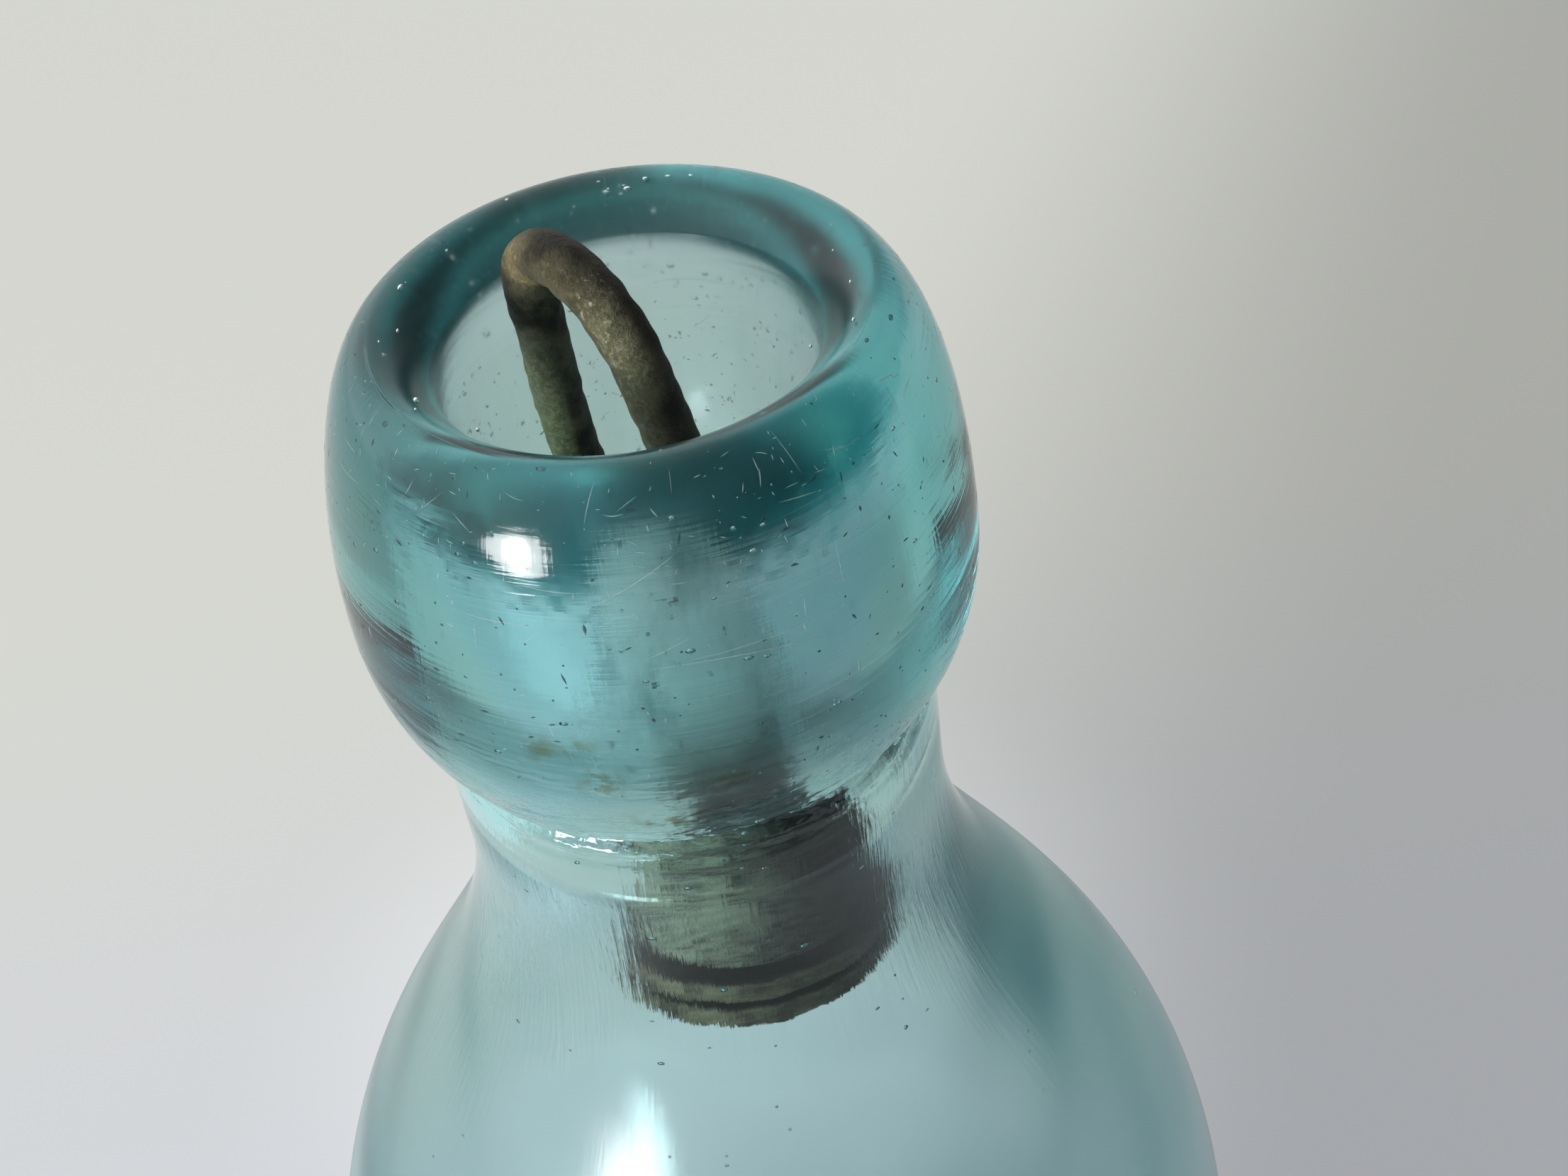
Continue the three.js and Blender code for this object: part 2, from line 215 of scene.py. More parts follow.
# The painted shade far off and in front shows in the glass alone, so that the floor itself looks plain.
seen = put(tree, "ShaderNodeLightPath").outputs
for share in (sunk, front_shade):
    in_glass = maths(tree, "MAXIMUM", share, seen["Is Camera Ray"])
    painted_light_and_shade = maths(tree, "MINIMUM", painted_light_and_shade, in_glass)
# Painted pools of light: one behind the bottle where light through the glass falls, one at the front left
# where the window lights the floor.
for pool in FLOOR_LIGHT_POOLS:
    off_pool = vectors(tree, "DISTANCE", {0: where, 1: pool["place"]}, "Value")
    light = eased(tree, off_pool, pool["range"], (pool["light"], 1.0))
    painted_light_and_shade = maths(tree, "MULTIPLY", painted_light_and_shade, light)
off_bottle = vectors(tree, "LENGTH", {0: where}, "Value")
painted_light_and_shade = eased(tree, off_bottle, FLOOR_PLAIN_RANGE, (painted_light_and_shade, 1.0))
paper = vectors(tree, "SCALE", {0: tint, "Scale": painted_light_and_shade})
matt = put(tree, "ShaderNodeBsdfPrincipled", {
    "Base Color": paper,
    "Roughness": 0.9,
    "Specular IOR Level": 0.0,
})
shine = put(tree, "ShaderNodeEmission", {"Color": paper})
looked_at = maths(tree, "MAXIMUM", seen["Is Camera Ray"], seen["Is Glossy Ray"])
looked_at = maths(tree, "MAXIMUM", looked_at, seen["Is Transmission Ray"])
share = maths(tree, "MULTIPLY", looked_at, FLOOR_OWN_LIGHT)
blend = put(tree, "ShaderNodeMixShader", {0: share, 1: matt.outputs[0], 2: shine.outputs[0]})
put(tree, "ShaderNodeOutputMaterial", {"Surface": blend.outputs[0]})
floor_mesh.materials.append(floor_paper)


# Glass bottle.
# One piece of aqua glass: a blown body and neck, with a thick blob lip laid on hot and tooled round.
# The bore narrows to a choke and opens again below it, where the stopper's gasket seals.
MM = 0.001
LIP_TOP = lip_level / MM
BODY_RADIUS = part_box("glass_bottle")[1].x / MM
HEEL_ROUND = 7.0
FOOT_WIDTH = 4.0
PUSH_UP_HEIGHT = 4.0
NECK_RADIUS = 13.15
LIP_RADIUS = 15.75
CREASE_RADIUS = 12.55
CREST_RADIUS = 11.5
MOUTH_RADIUS = 9.05
CHOKE_RADIUS = 7.2
SEAT_RADIUS = 8.7
INNER_RADIUS = 26.9
INNER_HEEL_ROUND = 9.0
BASE_THICKNESS = 6.5
BELLY_DROP = 14.1
CREASE_DROP = 21.8
NECK_DROP = 24.4
WAIST_DROP = 30.5
SHOULDER_DROP = 82.0
MOUTH_ROUND = 2.2
CHOKE_DROP = 21.0
CHOKE_END_DROP = 26.5
SEAT_DROP = 29.0
GLASS_SIDES = 280

# How far the handles of the section's curves reach, as shares of the runs that they round, or in mm.
PUSH_UP_CROWN = 0.45
PUSH_UP_FOOT = 0.7
BODY_PULL = 0.54
NECK_PULL = 0.36
INNER_BODY_PULL = 0.52
INNER_NECK_PULL = 0.416
CREASE_TUCK = 0.87
UNDER_LIP_PULL = 0.6
UNDER_LIP_RISE = 1.0
FLANK_PULL = 0.61
CREST_OUT_PULL = 0.45
CREST_IN_PULL = 0.37
MOUTH_PULL = 0.27
MOUTH_RISE = 0.45

# How uneven the hand-worked glass is, in mm. A run is a stretch where the wall flowed thick or, below
# zero, thin; its side and spread are in degrees.
CREASE_SAG = 0.45
CREASE_REACH = 3.0
LEDGE_DEPTH = 0.13
LEDGE_PITCH = 1.3
LEDGE_REACH = 2.4
LEDGE_DRIFT = 2.0
UPPER_REACH = 40.0
LIP_SWELL = 0.07
BORE_SWELL = 0.10
SHOULDER_SWELL = 0.22
SHOULDER_SWELL_LEVEL = 106.0
SHOULDER_SWELL_REACH = 15.0
GLASS_RUNS = [
    {"thickness": 1.4, "side": 0.0, "spread": 55.0, "level": 111.0, "reach": 14.0},
    {"thickness": -0.6, "side": -34.0, "spread": 40.0, "level": 134.0, "reach": 8.0},
]


def curve(points, count):
    """Points on a Bezier curve, without its last one: neighbouring control points are mixed, share by
    share, until one point is left."""
    share = np.linspace(0.0, 1.0, count, endpoint=False)[:, None]
    rows = [np.array(point, float)[None, :] for point in points]
    while len(rows) > 1:
        rows = [(1.0 - share) * near + share * far for near, far in zip(rows, rows[1:])]
    return rows[0]


def glass_profile():
    """Half of the glass's section as (radius, height) in mm, in two parts: the outside from the middle of
    the push-up over the foot, body, shoulder, neck and lip to the crest, and the inside from the crest
    down the bore to the floor inside."""
    foot = BODY_RADIUS - HEEL_ROUND
    ring = foot - FOOT_WIDTH
    shoulder = LIP_TOP - SHOULDER_DROP
    waist = LIP_TOP - WAIST_DROP
    neck = LIP_TOP - NECK_DROP
    crease = LIP_TOP - CREASE_DROP
    belly = LIP_TOP - BELLY_DROP
    rounding = LIP_TOP - MOUTH_ROUND
    choke = LIP_TOP - CHOKE_DROP
    choke_end = LIP_TOP - CHOKE_END_DROP
    seat = LIP_TOP - SEAT_DROP
    rise = waist - shoulder
    crown = PUSH_UP_HEIGHT + BASE_THICKNESS
    inner_foot = INNER_RADIUS - INNER_HEEL_ROUND
    inner_heel = BASE_THICKNESS + INNER_HEEL_ROUND
    bulge = LIP_RADIUS - CREASE_RADIUS
    crest_run = LIP_RADIUS - CREST_RADIUS
    mouth_run = CREST_RADIUS - MOUTH_RADIUS
    dome = PUSH_UP_CROWN * ring
    dome_foot = PUSH_UP_FOOT * ring
    low_handle = (BODY_RADIUS, shoulder + BODY_PULL * rise)
    high_handle = (NECK_RADIUS, waist - NECK_PULL * rise)
    inner_low = (INNER_RADIUS, shoulder + INNER_BODY_PULL * rise)
    inner_high = (SEAT_RADIUS, seat - INNER_NECK_PULL * rise)
    under_out = (CREASE_RADIUS + UNDER_LIP_PULL * bulge, crease + UNDER_LIP_RISE)
    under_up = (LIP_RADIUS, 0.5 * (crease + belly))
    flank_up = (LIP_RADIUS, belly + FLANK_PULL * BELLY_DROP)
    crest_out = (CREST_RADIUS + CREST_OUT_PULL * crest_run, LIP_TOP)
    crest_in = (CREST_RADIUS - CREST_IN_PULL * mouth_run, LIP_TOP)
    mouth_up = (MOUTH_RADIUS + MOUTH_PULL * mouth_run, rounding + MOUTH_RISE * MOUTH_ROUND)
    inner_corner = (INNER_RADIUS, BASE_THICKNESS)
    floor_edge = (inner_foot, BASE_THICKNESS)
    outside = [
        curve([(0, PUSH_UP_HEIGHT), (dome, PUSH_UP_HEIGHT), (dome_foot, 0), (ring, 0)], 10),
        curve([(ring, 0), (foot, 0)], 2),
        curve([(foot, 0), (BODY_RADIUS, 0), (BODY_RADIUS, HEEL_ROUND)], 10),
        curve([(BODY_RADIUS, HEEL_ROUND), (BODY_RADIUS, shoulder)], 6),
        curve([(BODY_RADIUS, shoulder), low_handle, high_handle, (NECK_RADIUS, waist)], 48),
        curve([(NECK_RADIUS, waist), (NECK_RADIUS, neck)], 10),
        curve([(NECK_RADIUS, neck), (NECK_RADIUS, crease - CREASE_TUCK), (CREASE_RADIUS, crease)], 10),
        curve([(CREASE_RADIUS, crease), under_out, under_up, (LIP_RADIUS, belly)], 26),
        curve([(LIP_RADIUS, belly), flank_up, crest_out, (CREST_RADIUS, LIP_TOP)], 64),
    ]
    inside = [
        curve([(CREST_RADIUS, LIP_TOP), crest_in, mouth_up, (MOUTH_RADIUS, rounding)], 24),
        curve([(MOUTH_RADIUS, rounding), (CHOKE_RADIUS, choke)], 30),
        curve([(CHOKE_RADIUS, choke), (CHOKE_RADIUS, choke_end)], 8),
        curve([(CHOKE_RADIUS, choke_end), (SEAT_RADIUS, seat)], 6),
        curve([(SEAT_RADIUS, seat), inner_high, inner_low, (INNER_RADIUS, shoulder)], 48),
        curve([(INNER_RADIUS, shoulder), (INNER_RADIUS, inner_heel)], 6),
        curve([(INNER_RADIUS, inner_heel), inner_corner, floor_edge], 8),
        curve([floor_edge, (dome_foot, BASE_THICKNESS), (dome, crown), (0, crown)], 8),
        np.array([(0.0, crown)]),
    ]
    return np.concatenate(outside), np.concatenate(inside)


def waves(seed, angle, height, turns, pitch, count=14):
    """An uneven surface made of sine waves that close round the axis: each has a whole number of turns up
    to the given one, a height pitch no shorter than the given one (mm) and a random phase; about -1 to 1."""
    dice = np.random.default_rng(seed)
    total = 0.0 * (angle + height)
    for _ in range(count):
        around = dice.integers(1, turns + 1)
        along = dice.uniform(-2.0 * np.pi, 2.0 * np.pi) / pitch
        total = total + np.sin(around * angle + along * height + dice.uniform(0.0, 2.0 * np.pi))
    return total / math.sqrt(2.0 * count)


def turned(profile, sides, centre, shape):
    """Rings of points round an upright axis, one ring for each (radius, height) of a profile, at
    (radius cos a, radius sin a, height). A shape function may push the radii and heights about, by angle
    and height. All in mm."""
    angle = np.linspace(0.0, 2.0 * np.pi, sides, endpoint=False)[None, :]
    radius = profile[:, 0][:, None] + 0.0 * angle
    height = profile[:, 1][:, None] + 0.0 * angle
    if shape is not None:
        radius, height = shape(radius, height, angle)
    return np.stack([centre + radius * np.cos(angle), radius * np.sin(angle), height], axis=-1)


def between_rings(number, after):
    """Four-sided faces that join each ring of point numbers to the ring after it."""
    beside = np.roll(number, -1, axis=1)
    beside_after = np.roll(after, -1, axis=1)
    return np.stack([number, beside, beside_after, after], axis=-1).reshape(-1, 4).tolist()


def spun(profile, sides, centre=0.0, shape=None):
    """Points (in metres) and faces of a closed surface of revolution whose profile (in mm) starts and ends
    on the axis: its two ends become poles and every other point a ring."""
    rings = turned(profile[1:-1], sides, centre, shape)
    poles = np.array([(centre, 0.0, profile[0, 1]), (centre, 0.0, profile[-1, 1])])
    points = np.concatenate([poles, rings.reshape(-1, 3)]) * MM
    number = 2 + np.arange(rings.shape[0] * sides).reshape(-1, sides)
    beside = np.roll(number, -1, axis=1)
    first = np.stack([np.zeros(sides, int), beside[0], number[0]], axis=-1)
    last = np.stack([number[-1], beside[-1], np.ones(sides, int)], axis=-1)
    return points, between_rings(number[:-1], number[1:]) + first.tolist() + last.tolist()


def smooth_piece(name, points, faces, material):
    """Makes a smooth shaded object at the origin out of points in metres and faces."""
    mesh = bpy.data.meshes.new(name)
    mesh.from_pydata(points.tolist(), [], faces)
    mesh.polygons.foreach_set("use_smooth", np.ones(len(mesh.polygons), bool))
    mesh.materials.append(material)
    mesh.update()
    item = bpy.data.objects.new(name, mesh)
    scene.collection.objects.link(item)
    return item


def paint(item, name, values):
    """Stores one value per point on a piece, for its material to read."""
    layer = item.data.attributes.new(name, "FLOAT", "POINT")
    layer.data.foreach_set("value", np.ascontiguousarray(values, np.float32))


# Fine relief of the glass's skin in metres, apart from the widths, which are measured on a unit circle.
RING_WIDTH = 0.7
RING_PITCH = 0.0004
RING_DEPTH = 0.000018
FLOW_WIDTH = 0.017
FLOW_LENGTH = 0.0035
FLOW_DEPTH = 0.000018
CRUMPLE_WIDTH = 0.22
CRUMPLE_PITCH = 0.0011
CRUMPLE_DEPTH = 0.0003
FOLD_DEPTH = 0.00012
FOLD_SWIRL = 1.2
RUST = (0.62, 0.36, 0.13)
RUST_RANGE = (0.44, 0.56)
RUST_DULLING = 0.5
GLASS_IOR = 1.52
GLASS_ROUGHNESS = (0.02, 0.45)
GLASS_TINT = (0.147, 0.713, 0.727)
GLASS_DENSITY = 75.0


def painted(tree, name):
    """Reads a value that was stored on the piece's points."""
    return put(tree, "ShaderNodeAttribute", attribute_name=name).outputs["Fac"]


def noise(tree, place, scale, detail, rough=0.5, swirl=0.0):
    """Noise from 0 to 1: finer with scale and detail, harsher with rough, and drawn about with swirl."""
    inputs = {"Vector": place, "Scale": scale, "Detail": detail, "Roughness": rough, "Distortion": swirl}
    return put(tree, "ShaderNodeTexNoise", inputs).outputs["Fac"]


def streaks(tree, around, along):
    """Noise drawn out round or along the axis: its place is the direction out from the axis, divided by
    the pitch around, plus the height divided by the pitch along."""
    where = put(tree, "ShaderNodeTexCoord").outputs["Object"]
    flat = vectors(tree, "MULTIPLY", {0: where, 1: (1.0, 1.0, 0.0)})
    outward = vectors(tree, "NORMALIZE", {0: flat})
    spread = vectors(tree, "SCALE", {0: outward, "Scale": 1.0 / around})
    level = put(tree, "ShaderNodeSeparateXYZ", {0: where}).outputs["Z"]
    height = maths(tree, "MULTIPLY", level, 1.0 / along)
    lift = put(tree, "ShaderNodeCombineXYZ", {"Z": height}).outputs[0]
    return noise(tree, vectors(tree, "ADD", {0: spread, 1: lift}), 1.0, 3.0)


def raised(tree, height, depth, below=None, strength=1.0):
    """A bump of the given depth in metres, on top of the one below it."""
    inputs = {"Height": height, "Distance": depth, "Strength": strength}
    if below is not None:
        inputs["Normal"] = below
    return put(tree, "ShaderNodeBump", inputs).outputs[0]


def shaded(tree, inputs, filling=None):
    """Ends a material with its shader, and with what fills the piece, if anything does."""
    surface = put(tree, "ShaderNodeBsdfPrincipled", inputs).outputs[0]
    output = put(tree, "ShaderNodeOutputMaterial", {"Surface": surface})
    if filling is not None:
        tree.links.new(filling, output.inputs["Volume"])


aqua_glass = bpy.data.materials.new("aqua_glass")
tree = empty_tree(aqua_glass)
where = put(tree, "ShaderNodeTexCoord").outputs["Object"]
reliefs = [
    (streaks(tree, RING_WIDTH, RING_PITCH), "tooled", RING_DEPTH),
    (streaks(tree, FLOW_WIDTH, FLOW_LENGTH), "drawn", FLOW_DEPTH),
    (streaks(tree, CRUMPLE_WIDTH, CRUMPLE_PITCH), "crumpled", CRUMPLE_DEPTH),
    (noise(tree, where, 300.0, 1.0, swirl=FOLD_SWIRL), "fold", FOLD_DEPTH),
]
surface = None
for pattern, cover, depth in reliefs:
    surface = raised(tree, maths(tree, "MULTIPLY", pattern, painted(tree, cover)), depth, surface)
stain = noise(tree, where, 1300.0, 4.0, 0.6)
rust = maths(tree, "MULTIPLY", eased(tree, stain, RUST_RANGE), painted(tree, "rust"))
wear = maths(tree, "ADD", painted(tree, "haze"), maths(tree, "MULTIPLY", rust, RUST_DULLING))
smoothest, roughest = GLASS_ROUGHNESS
rough = put(tree, "ShaderNodeMapRange", {"Value": wear, "To Min": smoothest, "To Max": roughest})
body_tint = put(tree, "ShaderNodeVolumeAbsorption", {"Color": opaque(GLASS_TINT), "Density": GLASS_DENSITY})
shaded(tree, {
    "Base Color": mixed(tree, rust, (1.0, 1.0, 1.0), RUST),
    "Roughness": rough.outputs["Result"],
    "IOR": GLASS_IOR,
    "Transmission Weight": 1.0,
    "Normal": surface,
}, body_tint.outputs[0])

outer_profile, inner_profile = glass_profile()
profile = np.concatenate([outer_profile, inner_profile])
is_inside = np.arange(len(profile)) >= len(outer_profile)


def upper_share(height):
    """How much of the unevenness reaches a height: none on the body, all of it on the neck and lip."""
    return np.clip((height - (LIP_TOP - SHOULDER_DROP)) / UPPER_REACH, 0.0, 1.0)


def fall_off(distance, reach):
    """1 at no distance, and falling off on both sides of it along a bell curve, to a third at the reach."""
    return np.exp(-((distance / reach) ** 2))


def way_round(angle, middle):
    """The shorter way round the axis to an angle in radians from a middle in degrees, in radians."""
    return np.angle(np.exp(1j * (angle - math.radians(middle))))


def bore_swell(height, angle):
    """How far the wall inside lies off its round shape, in mm: it swells a little all over and more on the
    shoulder, and the glass ran thick on one side of the shoulder and thin above it. A run is given by its
    thickness, the angle and half width of its middle in degrees, and its level and half height in mm."""
    swell = BORE_SWELL * waves(8, angle, height, turns=5, pitch=12.0) * upper_share(height)
    on_shoulder = fall_off(height - SHOULDER_SWELL_LEVEL, SHOULDER_SWELL_REACH)
    swell = swell + SHOULDER_SWELL * waves(9, angle, height, turns=8, pitch=9.0) * on_shoulder
    for run in GLASS_RUNS:
        across = fall_off(way_round(angle, run["side"]), math.radians(run["spread"]))
        swell = swell - run["thickness"] * across * fall_off(height - run["level"], run["reach"])
    return swell


def lip_swell(height, angle):
    """How far the lip's outside lies off its round shape, in mm."""
    return LIP_SWELL * waves(5, angle, height, turns=4, pitch=14.0)


def hand_made(radius, height, angle):
    """The unevenness of hand-worked glass: the crease under the lip wanders up and down and has small
    tooled ledges above and below it, the lip and neck swell a little, and the bore inside swells on its
    own."""
    inside = is_inside[1:-1, None]
    rise = height - (LIP_TOP - CREASE_DROP)
    sag = CREASE_SAG * waves(3, angle, 0.0 * height, turns=4, pitch=50.0) * fall_off(rise, CREASE_REACH)
    drift = LEDGE_DRIFT * waves(13, angle, 0.0 * height, turns=5, pitch=50.0)
    ledges = np.sin(2.0 * np.pi * rise / LEDGE_PITCH + drift) * fall_off(rise, LEDGE_REACH)
    skin_swell = lip_swell(height, angle) * upper_share(height)
    swell = np.where(inside, bore_swell(height, angle), skin_swell + LEDGE_DEPTH * ledges)
    return radius + swell, height + np.where(inside, 0.0, sag)


points, faces = spun(profile, GLASS_SIDES, shape=hand_made)
bottle = smooth_piece("aqua_bottle", points, faces, aqua_glass)


def by_ring(values):
    """One value per profile point, spread over its ring, in the order of a spun piece's points."""
    return np.concatenate([values[[0, -1]], np.repeat(values[1:-1], GLASS_SIDES)])


def blots(spots):
    """One value per point of the bottle's outside: 1 in the middle of each spot, falling off round it. A
    spot is given by its angle, height, half width in degrees and half height in mm."""
    angle = np.linspace(-180.0, 180.0, GLASS_SIDES, endpoint=False)
    angle = np.roll(angle, GLASS_SIDES // 2)[None, :]
    height = profile[1:-1, 1][:, None]
    total = 0.0 * (angle + height)
    for middle, level, wide, tall in spots:
        total = np.maximum(total, fall_off(angle - middle, wide) * fall_off(height - level, tall))
    total = np.where(is_inside[1:-1, None], 0.0, total)
    return np.concatenate([[0.0, 0.0], total.ravel()])


# How dull the glass is and where its relief lies, by height in mm, and its folds and stains by spots.
BORE_HAZE_LEVELS = (60, 110, 122, 131, 146, 149, 152, 155, 158, 164, 167, 171)
BORE_HAZE = (0.35, 0.30, 0.12, 0.03, 0.05, 0.55, 0.70, 0.35, 0.10, 0.10, 0.40, 0.55)
SKIN_HAZE_LEVELS = (60, 100, 128, 132, 147, 151, 164, 169, 171)
SKIN_HAZE = (0.20, 0.45, 0.45, 0.03, 0.03, 0.07, 0.07, 0.20, 0.55)
BACK_HAZE_LEVELS = (150, 158, 171)
BACK_HAZE = (0.0, 0.40, 0.60)
BACK_ANGLE = 90.0
BACK_SPREAD = 65.0
CREASED_LEVELS = (146.0, 148.5, 152.0, 158.0)
CREASED = (0.0, 1.0, 0.8, 0.0)
TOOLED_LEVELS = (146.0, 150.0, 168.0, 171.0)
TOOLED = (0.0, 1.0, 1.0, 0.3)
DRAWN_LEVELS = (100.0, 118.0, 128.0, 134.0, 144.0, 150.0)
DRAWN = (0.0, 0.1, 0.4, 1.0, 1.0, 0.3)
FOLD_SPOTS = [(-140.0, 170.3, 12.0, 1.2), (-132.0, 168.3, 10.0, 0.8), (-28.0, 170.0, 8.0, 1.0)]
RUST_SPOTS = [
    (-116.0, 157.9, 4.0, 0.8),
    (-110.0, 158.2, 3.0, 0.6),
    (-107.0, 156.0, 4.0, 1.0),
    (-86.0, 155.6, 5.0, 0.7),
    (-96.0, 153.0, 9.0, 0.8),
]

level = profile[1:-1, 1][:, None]
side_angle = np.linspace(0.0, 2.0 * np.pi, GLASS_SIDES, endpoint=False)[None, :]
at_back = fall_off(way_round(side_angle, BACK_ANGLE), math.radians(BACK_SPREAD))
skin_haze = np.interp(level, SKIN_HAZE_LEVELS, SKIN_HAZE)
skin_haze = np.maximum(skin_haze, np.interp(level, BACK_HAZE_LEVELS, BACK_HAZE) * at_back)
bore_haze = np.interp(level, BORE_HAZE_LEVELS, BORE_HAZE) + 0.0 * at_back
haze = np.where(is_inside[1:-1, None], bore_haze, skin_haze)
paint(bottle, "haze", np.concatenate([[SKIN_HAZE[0], BORE_HAZE[0]], haze.ravel()]))
creased = np.interp(profile[:, 1], CREASED_LEVELS, CREASED)
paint(bottle, "crumpled", by_ring(np.where(is_inside, 0.0, creased)))
lip_tooling = np.interp(profile[:, 1], TOOLED_LEVELS, TOOLED)
paint(bottle, "tooled", by_ring(np.where(is_inside, 0.0, lip_tooling)))
paint(bottle, "drawn", by_ring(np.interp(profile[:, 1], DRAWN_LEVELS, DRAWN)))
paint(bottle, "fold", blots(FOLD_SPOTS))
paint(bottle, "rust", blots(RUST_SPOTS))
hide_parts("glass_bottle")
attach(bottle, "bottle")


# Seeds in the glass.
# Small gas bubbles, drawn out a little round the bottle, that stayed in the thick lip and the shoulder
# when the glass was worked. They are seen from inside the glass, so they bend light the other way.
SEED_COUNT = 420
SEED_SIZES = (0.05, 0.16)
SEED_SHRINK = (0.4, 1.0)
SEED_STRETCH = (1.0, 2.4)
SEED_DEPTH = (0.3, 2.0)
SEED_LOWEST = 112.0
SEED_RINGS = 7
SEED_SIDES = 10

seed_gas = bpy.data.materials.new("seed_gas")
tree = empty_tree(seed_gas)
shaded(tree, {
    "Base Color": opaque((1.0, 1.0, 1.0)),
    "Roughness": 0.02,
    "IOR": 1.0 / GLASS_IOR,
    "Transmission Weight": 1.0,
})


def scattered(count, seed):
    """Many small ellipsoids under the bottle's outside, at random heights from the shoulder to the crest
    and at random angles; each is a copy of one unit ball, scaled, turned to its angle and moved."""
    dice = np.random.default_rng(seed)
    tilt = np.linspace(0.0, np.pi, SEED_RINGS)
    ball = np.stack([np.sin(tilt), -np.cos(tilt)], axis=-1)
    ball_points, ball_faces = spun(ball, SEED_SIDES)
    ball_points = ball_points / MM
    upper = outer_profile[outer_profile[:, 1] > SEED_LOWEST]
    row = dice.integers(0, len(upper), count)
    turn = dice.uniform(-np.pi, np.pi, count)
    radius = upper[row, 0] - dice.uniform(*SEED_DEPTH, count)
    reach = dice.uniform(*SEED_SIZES, count) * dice.uniform(*SEED_SHRINK, count)
    stretch = np.stack([reach, reach * dice.uniform(*SEED_STRETCH, count), reach], axis=-1)
    local = ball_points[None] * stretch[:, None]
    out = radius[:, None] + local[..., 0]
    across = local[..., 1]
    x = out * np.cos(turn)[:, None] - across * np.sin(turn)[:, None]
    y = out * np.sin(turn)[:, None] + across * np.cos(turn)[:, None]
    z = upper[row, 1][:, None] + local[..., 2]
    points = np.stack([x, y, z], axis=-1).reshape(-1, 3) * MM
    shift = len(ball_points)
    faces = [[corner + k * shift for corner in face] for k in range(count) for face in ball_faces]
    return points, faces


points, faces = scattered(SEED_COUNT, seed=71)
seeds = smooth_piece("glass_seeds", points, faces, seed_gas)
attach(seeds, "bottle")


# Scuffs on the lip.
# Fine pale scratches that years of handling left in the skin of the lip, most of them along the crest,
# and short dark nicks all over it; each is a hair-thin raised line that lies on the glass.
LINE_STEPS = 12
LINE_LIFT = 0.006
LINE_SINK = -0.002
LINE_VARIETY = 0.8
LINE_WANDER = 0.3
LINE_BOW = 0.12
LINE_BLUNT = 0.03
SCUFF_START = 3.0
SCUFF_PALE = (0.80, 0.92, 0.91)
NICK_DARK = (0.05, 0.10, 0.10)
SCUFF_KINDS = [
    {"name": "lip_scratches", "count": 300, "length": (0.3, 2.6), "width": (0.010, 0.024), "climb": 2.5,
     "upright": 0.25, "colour": SCUFF_PALE, "cover": 0.5},
    {"name": "lip_ticks", "count": 800, "length": (0.10, 0.6), "width": (0.012, 0.032), "climb": 2.0,
     "upright": 0.7, "colour": SCUFF_PALE, "cover": 0.5},
    {"name": "crest_lines", "count": 20, "length": (4.0, 10.0), "width": (0.012, 0.022), "climb": 7.0,
     "upright": 0.0, "colour": SCUFF_PALE, "cover": 0.6},
    {"name": "lip_nicks", "count": 540, "length": (0.12, 0.7), "width": (0.03, 0.08), "climb": 1.0,
     "upright": 0.3, "colour": NICK_DARK, "cover": 0.65},
]


def scuff_skin(name, rgb, alpha):
    """A thin matt layer that lets part of the light through."""
    material = bpy.data.materials.new(name)
    layers = empty_tree(material)
    shaded(layers, {"Base Color": opaque(rgb), "Roughness": 0.7, "Alpha": alpha})
    return material


lip_rows = outer_profile[outer_profile[:, 1] > LIP_TOP - CREASE_DROP + SCUFF_START]
lip_rise = np.concatenate([[0.0], np.cumsum(np.linalg.norm(np.diff(lip_rows, axis=0), axis=1))])


def on_lip(rise, angle, lift):
    """Places on the lip's outside, in mm, by the way up its section, the angle and the height above it."""
    radius = np.interp(rise, lip_rise, lip_rows[:, 0])
    height = np.interp(rise, lip_rise, lip_rows[:, 1])
    steep = np.gradient(lip_rows, axis=0)
    steep /= np.linalg.norm(steep, axis=1, keepdims=True)
    out = np.interp(rise, lip_rise, steep[:, 1])
    up = -np.interp(rise, lip_rise, steep[:, 0])
    radius = radius + lip_swell(height, angle) + lift * out
    height = height + lift * up
    return np.stack([radius * np.cos(angle), radius * np.sin(angle), height], axis=-1)


